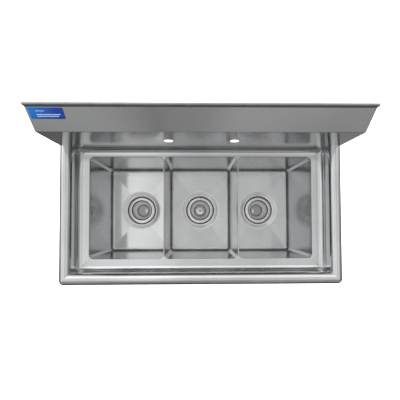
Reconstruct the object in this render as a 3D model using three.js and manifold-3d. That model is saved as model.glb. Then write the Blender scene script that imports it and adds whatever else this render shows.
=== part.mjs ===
// Three compartment sink for a restaurant kitchen, on four legs with adjustable feet.
// Millimetres. +Z is up, +X is to the user's right, +Y is towards the wall behind the sink.
// The origin is on the floor, under the middle of the whole object.

import * as THREE from "three";
import { mergeVertices } from "three/addons/utils/BufferGeometryUtils.js";
import Module from "manifold-3d";

const wasm = await Module();
wasm.setup();

// ---------------------------------------------------------------- driving dimensions

const SHEET = 1.2; // stainless sheet
const GAP = 0.3; // seam between two pieces that touch
const MERGE_WITHIN = 1e-4; // vertices nearer than this are one vertex

// Plan of the top
const BOWL_NAMES = ["left", "center", "right"];
const BOWLS_WIDTH = 762; // the three openings and the two dividers between them
const BOWL_LENGTH = 349.2; // front to back
const BOWL_CORNER = 15;
const DIVIDER = 4; // top edge between two bowls
const RIM_WIDTH = 76.2; // bowl edge to the outside of the rolled edge, at the front and both sides
const BACK_LEDGE = 25.4; // bowl edge to the face of the splash
const SPLASH_DEPTH = 57.15; // face of the splash to the wall

// Heights
const LEDGE_Z = 863.6; // flat ledge round the bowls
const ROLL_RISE = 44.45; // ledge to the middle of the rolled edge
const SPLASH_HEIGHT = 247.65; // ledge to the top of the splash
const SPLASH_LIP = 12.7; // height of the upright lip along the top of the splash
const BOWL_DEPTH = 254;

// Sheet bends
const ROLL_R = 19.05;
const ROLL_SWEEP = 300; // degrees of the rolled edge, which stays open underneath
const COVE_R = 18; // between the ledge and the upright sheets
const BOWL_COVE = 12; // between the floor and the walls of a bowl
const HEM_R = 3.8; // the lip of the splash is folded back over this radius
const HEM_DROP = 12.7; // flat of the fold, against the wall

// Bowl floor and drain
const FLOOR_FALL = 7; // edge of the floor to its lowest point
const DISH_R = 80; // pressed dish round the drain
const SEAT_R = 61; // flat bottom of the dish, where the flange lies
const SEAT_DROP = 9; // edge of the floor to the flat bottom of the dish
const DRAIN_HOLE_R = 46;
const DRAIN_SEGMENTS = 24;
const FLANGE_R = 57.15;
const FLANGE_EDGE = 1.6; // height of the flange's outer edge over the seat
const FLANGE_CROWN = 3; // height of its highest ring
const FLANGE_CROWN_R = 45;
const CUP_LIP = 1; // height of the cup's edge, inside that ring
const CUP_TOP_R = 42;
const CUP_BOTTOM_R = 26;
const CUP_DEPTH = 41;
const DRAIN_WALL = 2.5;
const COLLAR_R = 45.2; // threaded outside of the cup
const COLLAR_LENGTH = 18;
const OUTLET_R = 22; // threaded outlet under the cup
const OUTLET_BORE_R = 18.6;
const OUTLET_END = 64; // seat to the end of the outlet
const TAIL_R = 19.05;
const TAIL_WALL = 1.5;
const TAIL_LENGTH = 110;
const THREAD_CLEARANCE = 0.5; // between a nut's bore and what it screws on to
const GASKET_R = 56;
const GASKET_T = 3;
const LOCKNUT_R = 57;
const LOCKNUT_T = 8;
const LOCKNUT_SIDES = 8;
const TAIL_FLANGE_R = 21.5;
const TAIL_FLANGE_T = 2;
const SLIP_NUT_R = 28;
const SLIP_NUT_SIDES = 6;
const SLIP_NUT_GRIP = 15; // how far it reaches up the outlet
const SLIP_NUT_LIP = 3;

// Lift-out strainer
const STRAINER_R = 25;
const STRAINER_PLATE = 1.2;
const STRAINER_RIM = 5; // height of its turned-up rim
const STRAINER_FLARE = 1.4; // how far the rim leans out
const STRAINER_HOLES = 8;
const STRAINER_HOLE_R = 3;
const STRAINER_HOLE_SIDES = 6;
const STRAINER_HOLE_RING_R = 15;
const KNOB_R = 5;
const KNOB_HEIGHT = 8;
const KNOB_SHOULDER = 7; // height of the knob's upper edge

// Faucet holes
const FAUCET_SPREAD = 203.2;
const FAUCET_RISE = 100; // ledge to the centre of each hole
const FAUCET_HOLE_R = 14.3;

// Sticker on the sloped return of the splash
const LABEL_WIDTH = 90;
const LABEL_HEIGHT = 30;
const LABEL_THICKNESS = 0.4;
const LABEL_X = -406;
const LABEL_UP_SLOPE = 51.7; // lower fold of the return to the middle of the sticker

// Understructure
const CHANNEL_WIDTH = 33;
const CHANNEL_HEIGHT = 25;
const CHANNEL_SHEET = 2;
const CHANNEL_FROM_BOWL = 2.7; // inner wall of the bowl to the side of the channel
const CHANNEL_FRONT = -228;
const CHANNEL_BACK = 192;
const LEG_X = 412;
const LEG_FRONT_Y = -193;
const LEG_BACK_Y = 157;
const LEG_R = 20.65;
const LEG_WALL = 1.6;
const LEG_SEGMENTS = 16;
const SLEEVE_CLEARANCE = 0.35;
const SLEEVE_WALL = 4;
const SLEEVE_LENGTH = 60;
const SLEEVE_PLATE = 56;
const SLEEVE_PLATE_T = 4;
const SLEEVE_FLARE = 5;
const SLEEVE_FLARE_HEIGHT = 18;
const SCREW_R = 4;
const SCREW_HEAD_R = 7;
const SCREW_HEAD_T = 5;
const SCREW_DROP = 38; // top of the sleeve to the set screw
const SCREW_SEGMENTS = 12;
const HEXAGON = 6;

// Adjustable feet
const FOOT_HEIGHT = 62;
const FOOT_R = 20;
const FOOT_BASE_R = 12;
const FOOT_CHAMFER = 2; // under its edge
const FOOT_WAIST = 28; // height where it is a chamfer narrower than its full radius
const FOOT_SHOULDER = 44; // height where it reaches its full radius
const FOOT_TOP_FALL = 4; // height and width of the slope round its top
const FOOT_TOP_INSET = 3;
const FOOT_THREAD_SHOWING = 12; // clear thread between the foot and its plug at rest
const STEM_R = 7.9;
const STEM_LENGTH = 64;
const PLUG_FLANGE = 3;
const PLUG_LENGTH = 26;
const PLUG_BORE_R = 8.3;
const PLUG_CLEARANCE = 0.5; // to the inside of the leg

// Braces between the legs
const BRACE_Z = 235;
const BRACE_R = 12.7;
const BRACE_WALL = 1.5;
const BRACE_SEGMENTS = 12;
const BRACE_SLEEVE_WALL = 3;
const BRACE_SLEEVE_REACH = 46; // leg centre to the mouth of the brace socket
const CLAMP_HEIGHT = 38;
const OVERLAP = 1; // how far shapes that are joined run into each other

// ---------------------------------------------------------------- worked out from those

const WIDTH = BOWLS_WIDTH + 2 * RIM_WIDTH;
const DEPTH = RIM_WIDTH + BOWL_LENGTH + BACK_LEDGE + SPLASH_DEPTH;
const HALF_WIDTH = WIDTH / 2;
const FRONT_Y = -DEPTH / 2;
const WALL_Y = DEPTH / 2;
const OPENING_FRONT_Y = FRONT_Y + RIM_WIDTH;
const OPENING_BACK_Y = OPENING_FRONT_Y + BOWL_LENGTH;
const BOWL_Y = (OPENING_FRONT_Y + OPENING_BACK_Y) / 2;
const SPLASH_Y = OPENING_BACK_Y + BACK_LEDGE;
const SPLASH_RUN = SPLASH_DEPTH - 2 * HEM_R; // the return slopes at 45 degrees, so its rise is the same
const SPLASH_FACE_TOP = SPLASH_HEIGHT - SPLASH_LIP - SPLASH_RUN;
const HEM_Z = LEDGE_Z + SPLASH_HEIGHT - HEM_R;
const BOWL_WIDTH = (BOWLS_WIDTH - 2 * DIVIDER) / BOWL_NAMES.length;
const BOWL_PITCH = BOWL_WIDTH + DIVIDER;
const RISER_INSET = 2 * ROLL_R; // outside of the rolled edge to the upright sheet inside it
const BOWL_TOP_Z = LEDGE_Z - SHEET - GAP;
const FLOOR_Z = LEDGE_Z - BOWL_DEPTH;
const SEAT_Z = FLOOR_Z - SEAT_DROP;
const CHANNEL_INNER_X = BOWLS_WIDTH / 2 + CHANNEL_FROM_BOWL;
const SLEEVE_TOP_Z = BOWL_TOP_Z - CHANNEL_HEIGHT - GAP;
const SLEEVE_BORE_R = LEG_R + SLEEVE_CLEARANCE;
const SLEEVE_R = SLEEVE_BORE_R + SLEEVE_WALL;
const PLUG_BOTTOM_Z = FOOT_HEIGHT + FOOT_THREAD_SHOWING;
const LEG_BOTTOM_Z = PLUG_BOTTOM_Z + PLUG_FLANGE + GAP;
const LEG_TOP_Z = SLEEVE_TOP_Z - SLEEVE_PLATE_T - GAP;

// ---------------------------------------------------------------- materials

function metal(color, roughness) {
  return new THREE.MeshStandardMaterial({ color, roughness, metalness: 1 });
}

function plain(color, roughness) {
  return new THREE.MeshStandardMaterial({ color, roughness, metalness: 0 });
}

const stainless = () => metal(0xb9bbbc, 0.3);
const pressedSteel = () => metal(0xa9acad, 0.38);
const polishedSteel = () => metal(0xcfd1d2, 0.2);
const zincSteel = () => metal(0x9a9fa2, 0.5);
const blackRubber = () => plain(0x1b1b1c, 0.85);
const greyPlastic = () => plain(0x55585a, 0.6);
const blueSticker = () => plain(0x1454ad, 0.35);

// ---------------------------------------------------------------- outlines

function arc(centreX, centreY, radius, fromDegrees, toDegrees, steps) {
  const points = [];
  for (let i = 0; i <= steps; i += 1) {
    const degrees = THREE.MathUtils.lerp(fromDegrees, toDegrees, i / steps);
    const angle = THREE.MathUtils.degToRad(degrees);
    const across = radius * Math.cos(angle);
    const up = radius * Math.sin(angle);
    points.push(new THREE.Vector2(centreX + across, centreY + up));
  }
  return points;
}

function points(...pairs) {
  return pairs.map(([x, y]) => new THREE.Vector2(x, y));
}

// The closed outline of a bent sheet, from the path of one of its faces. The thickness goes to
// the left of the path, or to the right where side is -1.
function bentSheet(path, thickness, side) {
  const directions = path.slice(1).map((point, i) => point.clone().sub(path[i]).normalize());
  const otherFace = path.map((point, i) => {
    const into = directions[Math.max(i - 1, 0)];
    const out = directions[Math.min(i, directions.length - 1)];
    const along = into.clone().add(out).normalize();
    const reach = thickness / along.dot(into);
    return new THREE.Vector2(point.x - side * along.y * reach, point.y + side * along.x * reach);
  });
  return [...path, ...otherFace.reverse()];
}

function roundedRectangle(centreX, centreY, width, length, radius) {
  const right = width / 2 - radius;
  const back = length / 2 - radius;
  const steps = 4;
  return [
    ...arc(centreX + right, centreY - back, radius, -90, 0, steps),
    ...arc(centreX + right, centreY + back, radius, 0, 90, steps),
    ...arc(centreX - right, centreY + back, radius, 90, 180, steps),
    ...arc(centreX - right, centreY - back, radius, 180, 270, steps),
  ];
}

// ---------------------------------------------------------------- solids from outlines

const AXIS_X = new THREE.Vector3(1, 0, 0);
const AXIS_Y = new THREE.Vector3(0, 1, 0);
const AXIS_Z = new THREE.Vector3(0, 0, 1);

function extrude(outline, depth) {
  return new THREE.ExtrudeGeometry(new THREE.Shape(outline), { depth, bevelEnabled: false });
}

// outline in Y and Z
function alongX(outline, fromX, toX) {
  const turn = new THREE.Matrix4().makeBasis(AXIS_Y, AXIS_Z, AXIS_X);
  return extrude(outline, toX - fromX).applyMatrix4(turn).translate(fromX, 0, 0);
}

// outline in X and Z
function alongY(outline, fromY, toY) {
  const turn = new THREE.Matrix4().makeBasis(AXIS_X, AXIS_Z, AXIS_Y.clone().negate());
  return extrude(outline, toY - fromY).applyMatrix4(turn).translate(0, toY, 0);
}

// outline in X and Y
function alongZ(outline, fromZ, toZ) {
  return extrude(outline, toZ - fromZ).translate(0, 0, fromZ);
}

// outline of radius and height, counter-clockwise, turned about Z
function turned(outline, segments) {
  return new THREE.LatheGeometry([...outline, outline[0]], segments).rotateX(Math.PI / 2);
}

function uprightCylinder(radius, fromZ, toZ, segments) {
  const length = toZ - fromZ;
  const geometry = new THREE.CylinderGeometry(radius, radius, length, segments);
  return geometry.rotateX(Math.PI / 2).translate(0, 0, fromZ + length / 2);
}

function cylinderAlongX(radius, fromX, toX, segments) {
  return uprightCylinder(radius, fromX, toX, segments).rotateY(Math.PI / 2);
}

function cylinderAlongY(radius, fromY, toY, segments) {
  return uprightCylinder(radius, fromY, toY, segments).rotateX(-Math.PI / 2);
}

// Only positions, with the vertices that faces share merged
function shared(geometry) {
  const bare = geometry.clone();
  bare.deleteAttribute("normal");
  bare.deleteAttribute("uv");
  return mergeVertices(bare, MERGE_WITHIN);
}

function mirroredInX(geometry) {
  const copy = shared(geometry).scale(-1, 1, 1);
  const index = copy.index.array;
  for (let i = 0; i < index.length; i += 3) {
    [index[i], index[i + 1]] = [index[i + 1], index[i]];
  }
  return copy;
}

// ---------------------------------------------------------------- joining and cutting

function solidOf(geometry) {
  const merged = shared(geometry);
  const corners = merged.index.array;
  const kept = [];
  for (let i = 0; i < corners.length; i += 3) {
    const [a, b, c] = [corners[i], corners[i + 1], corners[i + 2]];
    if (a !== b && b !== c && c !== a) {
      kept.push(a, b, c);
    }
  }
  const mesh = new wasm.Mesh({
    numProp: 3,
    vertProperties: merged.attributes.position.array,
    triVerts: new Uint32Array(kept),
  });
  return new wasm.Manifold(mesh);
}

function geometryOf(solid) {
  const mesh = solid.getMesh();
  const geometry = new THREE.BufferGeometry();
  geometry.setAttribute("position", new THREE.BufferAttribute(mesh.vertProperties, 3));
  geometry.setIndex(new THREE.BufferAttribute(mesh.triVerts, 1));
  geometry.computeVertexNormals();
  return geometry;
}

function joined(geometries) {
  return geometries.map(solidOf).reduce((whole, solid) => whole.add(solid));
}

function cut(solid, geometries) {
  return geometries.map(solidOf).reduce((rest, cutter) => rest.subtract(cutter), solid);
}

// ---------------------------------------------------------------- the assembly

const sink = new THREE.Group();
sink.name = "three_compartment_sink";

function addPiece(name, geometry, material, x = 0, y = 0, z = 0) {
  const mesh = new THREE.Mesh(geometry, material);
  mesh.name = name;
  mesh.position.set(x, y, z);
  sink.add(mesh);
  return mesh;
}

const bowlCentres = BOWL_NAMES.map((name, i) => (i - 1) * BOWL_PITCH);

const CUT_REACH = 30; // how far a cutter runs past the sheet

const openingCutters = bowlCentres.map((x) => {
  const outline = roundedRectangle(x, BOWL_Y, BOWL_WIDTH, BOWL_LENGTH, BOWL_CORNER);
  return alongZ(outline, LEDGE_Z - CUT_REACH, LEDGE_Z + CUT_REACH);
});

// ---- rolled rim: ledge, cove, upright and roll in one bent sheet, mitred at the front corners

// inset is measured inwards from the outside of the roll, height from the ledge
function rimPath() {
  return [
    new THREE.Vector2(RIM_WIDTH + BOWL_CORNER, 0),
    ...arc(RISER_INSET + COVE_R, COVE_R, COVE_R, 270, 180, 5),
    ...arc(ROLL_R, ROLL_RISE, ROLL_R, 0, ROLL_SWEEP, 20),
  ];
}

function rimKeeper(outline) {
  return solidOf(alongZ(outline, LEDGE_Z - CUT_REACH, LEDGE_Z + 3 * CUT_REACH));
}

function frontRim() {
  const outline = bentSheet(rimPath(), SHEET, 1);
  const placed = outline.map((p) => new THREE.Vector2(FRONT_Y + p.x, LEDGE_Z + p.y));
  const inset = RIM_WIDTH + BOWL_CORNER;
  const plan = points(
    [-HALF_WIDTH + GAP, FRONT_Y],
    [HALF_WIDTH - GAP, FRONT_Y],
    [HALF_WIDTH - GAP - inset, FRONT_Y + inset],
    [-HALF_WIDTH + GAP + inset, FRONT_Y + inset],
  );
  const rim = solidOf(alongX(placed, -HALF_WIDTH, HALF_WIDTH)).intersect(rimKeeper(plan));
  return geometryOf(cut(rim, openingCutters));
}

function rightRim() {
  const outline = bentSheet(rimPath(), SHEET, 1);
  const placed = outline.map((p) => new THREE.Vector2(HALF_WIDTH - p.x, LEDGE_Z + p.y));
  const inset = RIM_WIDTH + BOWL_CORNER;
  const riserX = HALF_WIDTH - RISER_INSET;
  const backY = SPLASH_Y - GAP;
  const plan = points(
    [HALF_WIDTH, FRONT_Y],
    [HALF_WIDTH, backY],
    [riserX, backY],
    [riserX - BACK_LEDGE, backY - BACK_LEDGE],
    [HALF_WIDTH - inset, backY - BACK_LEDGE],
    [HALF_WIDTH - inset, FRONT_Y + inset],
  );
  const rim = solidOf(alongY(placed, FRONT_Y, SPLASH_Y)).intersect(rimKeeper(plan));
  return geometryOf(cut(rim, openingCutters));
}

addPiece("front_rim", frontRim(), stainless());
addPiece("right_rim", rightRim(), stainless());
addPiece("left_rim", mirroredInX(rightRim()), stainless());

// ---- splash: back ledge, cove, upright face, sloped return and folded lip in one bent sheet

function splashPath() {
  return [
    new THREE.Vector2(OPENING_BACK_Y - BOWL_CORNER, LEDGE_Z),
    ...arc(SPLASH_Y - COVE_R, LEDGE_Z + COVE_R, COVE_R, 270, 360, 5),
    ...points(
      [SPLASH_Y, LEDGE_Z + SPLASH_FACE_TOP],
      [SPLASH_Y + SPLASH_RUN, LEDGE_Z + SPLASH_FACE_TOP + SPLASH_RUN],
    ),
    ...arc(WALL_Y - HEM_R, HEM_Z, HEM_R, 180, 0, 8),
    new THREE.Vector2(WALL_Y, HEM_Z - HEM_DROP),
  ];
}

// Shallow step in the face of the splash where the end of the rolled rim is welded on
const RELIEF = 0.1;

function rollEndRelief() {
  const low = LEDGE_Z + COVE_R - OVERLAP;
  const high = LEDGE_Z + ROLL_RISE + ROLL_R + OVERLAP;
  const width = RISER_INSET + GAP + OVERLAP;
  const block = new THREE.BoxGeometry(width, 2 * RELIEF, high - low);
  return block.translate(HALF_WIDTH + OVERLAP - width / 2, SPLASH_Y, (low + high) / 2);
}

function splash() {
  const whole = solidOf(alongX(bentSheet(splashPath(), SHEET, -1), -HALF_WIDTH, HALF_WIDTH));
  const riserX = HALF_WIDTH - RISER_INSET;
  const webX = BOWLS_WIDTH / 2 - BOWL_CORNER + OVERLAP;
  const beyondX = HALF_WIDTH + CUT_REACH;
  const beyondY = SPLASH_Y + CUT_REACH;
  const underRims = points(
    [webX, OPENING_FRONT_Y],
    [webX, OPENING_BACK_Y],
    [riserX - BACK_LEDGE, OPENING_BACK_Y],
    [riserX, SPLASH_Y],
    [riserX, beyondY],
    [beyondX, beyondY],
    [beyondX, OPENING_FRONT_Y],
  );
  const corner = alongZ(underRims.reverse(), LEDGE_Z - CUT_REACH, LEDGE_Z + COVE_R);
  const holes = [-1, 1].map((side) => {
    const hole = cylinderAlongY(FAUCET_HOLE_R, SPLASH_Y - CUT_REACH, beyondY, DRAIN_SEGMENTS);
    return hole.translate((side * FAUCET_SPREAD) / 2, 0, LEDGE_Z + FAUCET_RISE);
  });
  const relief = rollEndRelief();
  const rims = [corner, mirroredInX(corner), relief, mirroredInX(relief)];
  return geometryOf(cut(whole, [...rims, ...holes, ...openingCutters]));
}

addPiece("backsplash", splash(), stainless());

// Flat plates that close the ends of the splash behind its return
const END_PLATE_FOOT = 95; // ledge to the lowest point of an end plate
const END_PLATE_WALL_EDGE = 120; // length of its edge along the wall

function endPlate() {
  const frontY = SPLASH_Y + SHEET + GAP;
  const underReturn = (SHEET + GAP) * Math.SQRT2;
  const frontTop = LEDGE_Z + SPLASH_FACE_TOP + SHEET + GAP - underReturn;
  const wallTop = HEM_Z - HEM_DROP - GAP;
  const outline = points(
    [frontY, LEDGE_Z + END_PLATE_FOOT],
    [WALL_Y, wallTop - END_PLATE_WALL_EDGE],
    [WALL_Y, wallTop],
    [frontY + wallTop - frontTop, wallTop],
    [frontY, frontTop],
  );
  return alongX(outline, 0, SHEET);
}

addPiece("splash_end_right", endPlate(), stainless(), HALF_WIDTH - SHEET);
addPiece("splash_end_left", endPlate(), stainless(), -HALF_WIDTH);

function label() {
  const offset = GAP + LABEL_THICKNESS / 2;
  const mesh = addPiece(
    "label_sticker",
    new THREE.BoxGeometry(LABEL_WIDTH, LABEL_HEIGHT, LABEL_THICKNESS),
    blueSticker(),
    LABEL_X,
    SPLASH_Y + (LABEL_UP_SLOPE - offset) / Math.SQRT2,
    LEDGE_Z + SPLASH_FACE_TOP + (LABEL_UP_SLOPE + offset) / Math.SQRT2,
  );
  mesh.rotation.x = Math.PI / 4;
}

label();

// ---- bowls: drawn shells with coved corners, a floor creased towards the drain and a dished seat

function bowlBody(offset) {
  const outline = roundedRectangle(
    0,
    0,
    BOWL_WIDTH + 2 * offset,
    BOWL_LENGTH + 2 * offset,
    BOWL_CORNER + offset,
  );
  const cove = BOWL_COVE + offset;
  const geometry = new THREE.ExtrudeGeometry(new THREE.Shape(outline), {
    depth: BOWL_DEPTH,
    bevelThickness: cove,
    bevelSize: cove,
    bevelOffset: -cove,
    bevelSegments: 3,
  });
  return geometry.translate(0, 0, FLOOR_Z - offset + cove);
}

// A flat four-sided point, base up, whose creases run from the corners of the floor to the drain
function floorFall(offset) {
  const lift = 0.05; // so that the point meets the floor with no film between them
  const height = FLOOR_FALL + lift;
  const geometry = new THREE.ConeGeometry(Math.SQRT2, height, 4).rotateY(Math.PI / 4);
  const spread = (size) => size / 2 - BOWL_COVE - OVERLAP;
  return geometry
    .rotateX(-Math.PI / 2)
    .scale(spread(BOWL_WIDTH), spread(BOWL_LENGTH), 1)
    .translate(0, 0, FLOOR_Z + lift - height / 2 - offset);
}

function dish(offset) {
  const height = SEAT_DROP;
  const geometry = new THREE.CylinderGeometry(DISH_R, SEAT_R, height, DRAIN_SEGMENTS);
  return geometry.rotateX(Math.PI / 2).translate(0, 0, SEAT_Z + height / 2 - offset);
}

function bowl() {
  const shell = cut(joined([bowlBody(SHEET), floorFall(SHEET), dish(SHEET)]), [
    bowlBody(0),
    floorFall(0),
    dish(0),
    uprightCylinder(DRAIN_HOLE_R, SEAT_Z - CUT_REACH, SEAT_Z + CUT_REACH, DRAIN_SEGMENTS),
    alongZ(roundedRectangle(0, 0, 2 * BOWL_WIDTH, 2 * BOWL_LENGTH, 1), BOWL_TOP_Z, 2 * LEDGE_Z),
  ]);
  return geometryOf(shell);
}

const bowlGeometry = bowl();
bowlCentres.forEach((x, i) => {
  addPiece(`bowl_${BOWL_NAMES[i]}`, bowlGeometry, pressedSteel(), x, BOWL_Y);
});

// Strips that close the seam between two bowls: a flat top with a web down between the walls
const STRIP_WEB = 22; // depth of the web

function dividerStrip() {
  const web = (DIVIDER - 2 * SHEET) / 2 - GAP;
  const outline = points(
    [-DIVIDER / 2, -SHEET],
    [-web, -SHEET],
    [-web, -STRIP_WEB],
    [web, -STRIP_WEB],
    [web, -SHEET],
    [DIVIDER / 2, -SHEET],
    [DIVIDER / 2, 0],
    [-DIVIDER / 2, 0],
  );
  const half = BOWL_LENGTH / 2 - BOWL_CORNER - GAP;
  return alongY(outline, BOWL_Y - half, BOWL_Y + half);
}

addPiece("divider_strip_left", dividerStrip(), stainless(), -BOWL_PITCH / 2, 0, LEDGE_Z);
addPiece("divider_strip_right", dividerStrip(), stainless(), BOWL_PITCH / 2, 0, LEDGE_Z);

// ---- drains: heights in these outlines are measured from the seat in the bowl floor

function drainBody() {
  const cupUnderside = -CUP_DEPTH - DRAIN_WALL;
  const outline = points(
    [OUTLET_BORE_R, -OUTLET_END],
    [OUTLET_R, -OUTLET_END],
    [OUTLET_R, cupUnderside],
    [CUP_BOTTOM_R + DRAIN_WALL, cupUnderside],
    [COLLAR_R - DRAIN_WALL, -COLLAR_LENGTH],
    [COLLAR_R, -COLLAR_LENGTH],
    [COLLAR_R, GAP],
    [FLANGE_R, GAP],
    [FLANGE_R, FLANGE_EDGE],
    [FLANGE_CROWN_R, FLANGE_CROWN],
    [CUP_TOP_R, CUP_LIP],
    [CUP_BOTTOM_R, -CUP_DEPTH],
    [OUTLET_BORE_R, -CUP_DEPTH],
  );
  return turned(outline, DRAIN_SEGMENTS);
}

const NUT_BORE_R = COLLAR_R + THREAD_CLEARANCE;
const GASKET_TOP = -SHEET - GAP;
const LOCKNUT_TOP = GASKET_TOP - GASKET_T - GAP;

function gasket() {
  const outline = points(
    [NUT_BORE_R, GASKET_TOP - GASKET_T],
    [GASKET_R, GASKET_TOP - GASKET_T],
    [GASKET_R, GASKET_TOP],
    [NUT_BORE_R, GASKET_TOP],
  );
  return turned(outline, DRAIN_SEGMENTS);
}

function locknut() {
  const bottom = LOCKNUT_TOP - LOCKNUT_T;
  const blank = solidOf(uprightCylinder(LOCKNUT_R, bottom, LOCKNUT_TOP, LOCKNUT_SIDES));
  return geometryOf(cut(blank, [uprightCylinder(NUT_BORE_R, -CUT_REACH, 0, DRAIN_SEGMENTS)]));
}

const TAIL_TOP = -OUTLET_END - GAP;

function tailpiece() {
  const bore = TAIL_R - TAIL_WALL;
  const outline = points(
    [bore, TAIL_TOP - TAIL_LENGTH],
    [TAIL_R, TAIL_TOP - TAIL_LENGTH],
    [TAIL_R, TAIL_TOP - TAIL_FLANGE_T],
    [TAIL_FLANGE_R, TAIL_TOP - TAIL_FLANGE_T],
    [TAIL_FLANGE_R, TAIL_TOP],
    [bore, TAIL_TOP],
  );
  return turned(outline, DRAIN_SEGMENTS);
}

function couplingNut() {
  const top = -OUTLET_END + SLIP_NUT_GRIP;
  const lip = TAIL_TOP - TAIL_FLANGE_T - GAP;
  const bottom = lip - SLIP_NUT_LIP;
  const threadR = OUTLET_R + THREAD_CLEARANCE;
  const tailR = TAIL_R + THREAD_CLEARANCE;
  const blank = solidOf(uprightCylinder(SLIP_NUT_R, bottom, top, SLIP_NUT_SIDES));
  return geometryOf(
    cut(blank, [
      uprightCylinder(threadR, lip, top + OVERLAP, DRAIN_SEGMENTS),
      uprightCylinder(tailR, bottom - OVERLAP, lip + OVERLAP, DRAIN_SEGMENTS),
    ]),
  );
}

// Lift-out strainer plate: turned-up rim, middle knob and a ring of holes
function strainer() {
  const floor = -CUP_DEPTH + GAP;
  const top = floor + STRAINER_PLATE;
  const rimTop = floor + STRAINER_RIM;
  const outline = points(
    [0, floor],
    [STRAINER_R, floor],
    [STRAINER_R + STRAINER_FLARE, rimTop],
    [STRAINER_R + STRAINER_FLARE - STRAINER_PLATE, rimTop],
    [STRAINER_R - STRAINER_PLATE, top],
    [KNOB_R, top],
    [KNOB_R, floor + KNOB_SHOULDER],
    [0, floor + KNOB_HEIGHT],
  );
  const blank = solidOf(new THREE.LatheGeometry(outline, DRAIN_SEGMENTS).rotateX(Math.PI / 2));
  const holes = [];
  for (let i = 0; i < STRAINER_HOLES; i += 1) {
    const angle = (2 * Math.PI * i) / STRAINER_HOLES;
    const x = STRAINER_HOLE_RING_R * Math.cos(angle);
    const y = STRAINER_HOLE_RING_R * Math.sin(angle);
    const hole = uprightCylinder(STRAINER_HOLE_R, floor - OVERLAP, top + OVERLAP, STRAINER_HOLE_SIDES);
    holes.push(hole.translate(x, y, 0));
  }
  return geometryOf(cut(blank, holes));
}

bowlCentres.forEach((x, i) => {
  const side = BOWL_NAMES[i];
  addPiece(`drain_body_${side}`, drainBody(), polishedSteel(), x, BOWL_Y, SEAT_Z);
  addPiece(`strainer_${side}`, strainer(), polishedSteel(), x, BOWL_Y, SEAT_Z);
  addPiece(`drain_gasket_${side}`, gasket(), blackRubber(), x, BOWL_Y, SEAT_Z);
  addPiece(`drain_locknut_${side}`, locknut(), zincSteel(), x, BOWL_Y, SEAT_Z);
  addPiece(`tailpiece_${side}`, tailpiece(), polishedSteel(), x, BOWL_Y, SEAT_Z);
  addPiece(`coupling_nut_${side}`, couplingNut(), polishedSteel(), x, BOWL_Y, SEAT_Z);
});

// ---- understructure

function channel() {
  const outerX = CHANNEL_INNER_X + CHANNEL_WIDTH;
  const bottomZ = BOWL_TOP_Z - CHANNEL_HEIGHT;
  const path = points(
    [CHANNEL_INNER_X, BOWL_TOP_Z],
    [CHANNEL_INNER_X, bottomZ],
    [outerX, bottomZ],
    [outerX, BOWL_TOP_Z],
  );
  return alongY(bentSheet(path, CHANNEL_SHEET, 1), CHANNEL_FRONT, CHANNEL_BACK);
}

addPiece("channel_right", channel(), pressedSteel());
addPiece("channel_left", mirroredInX(channel()), pressedSteel());

function sleeve(side) {
  const height = SLEEVE_PLATE_T + SLEEVE_LENGTH;
  const plate = new THREE.BoxGeometry(SLEEVE_PLATE, SLEEVE_PLATE, SLEEVE_PLATE_T);
  const outline = points(
    [0, -height],
    [SLEEVE_R, -height],
    [SLEEVE_R, -SLEEVE_PLATE_T - SLEEVE_FLARE_HEIGHT],
    [SLEEVE_R + SLEEVE_FLARE, -SLEEVE_PLATE_T / 2],
    [0, -SLEEVE_PLATE_T / 2],
  );
  const barrel = new THREE.LatheGeometry(outline, LEG_SEGMENTS).rotateX(Math.PI / 2);
  const whole = joined([plate.translate(0, 0, -SLEEVE_PLATE_T / 2), barrel]);
  const bowlSide = -side * LEG_X + side * (BOWLS_WIDTH / 2 + SHEET + GAP);
  const keepOff = new THREE.BoxGeometry(CUT_REACH, 2 * SLEEVE_PLATE, CUT_REACH);
  const screwHole = cylinderAlongX(SCREW_R + GAP, 0, CUT_REACH, SCREW_SEGMENTS);
  return geometryOf(
    cut(whole, [
      uprightCylinder(SLEEVE_BORE_R, -2 * height, -SLEEVE_PLATE_T, LEG_SEGMENTS),
      screwHole.scale(side, side, 1).translate(0, 0, -SCREW_DROP),
      keepOff.translate(bowlSide - (side * CUT_REACH) / 2, 0, 0),
    ]),
  );
}

// Hexagon-headed screw that pinches the leg in its sleeve
function setScrew() {
  const reach = SLEEVE_R + GAP;
  return geometryOf(
    joined([
      cylinderAlongX(SCREW_R, LEG_R + 2 * GAP, reach + OVERLAP, SCREW_SEGMENTS),
      cylinderAlongX(SCREW_HEAD_R, reach, reach + SCREW_HEAD_T, HEXAGON),
    ]),
  );
}

function legTube() {
  const outline = points(
    [LEG_R - LEG_WALL, LEG_BOTTOM_Z],
    [LEG_R, LEG_BOTTOM_Z],
    [LEG_R, LEG_TOP_Z],
    [LEG_R - LEG_WALL, LEG_TOP_Z],
  );
  return turned(outline, LEG_SEGMENTS);
}

function legPlug() {
  const insideR = LEG_R - LEG_WALL - PLUG_CLEARANCE;
  const shoulder = PLUG_BOTTOM_Z + PLUG_FLANGE;
  const outline = points(
    [PLUG_BORE_R, PLUG_BOTTOM_Z],
    [LEG_R, PLUG_BOTTOM_Z],
    [LEG_R, shoulder],
    [insideR, shoulder],
    [insideR, PLUG_BOTTOM_Z + PLUG_LENGTH],
    [PLUG_BORE_R, PLUG_BOTTOM_Z + PLUG_LENGTH],
  );
  return turned(outline, LEG_SEGMENTS);
}

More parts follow.
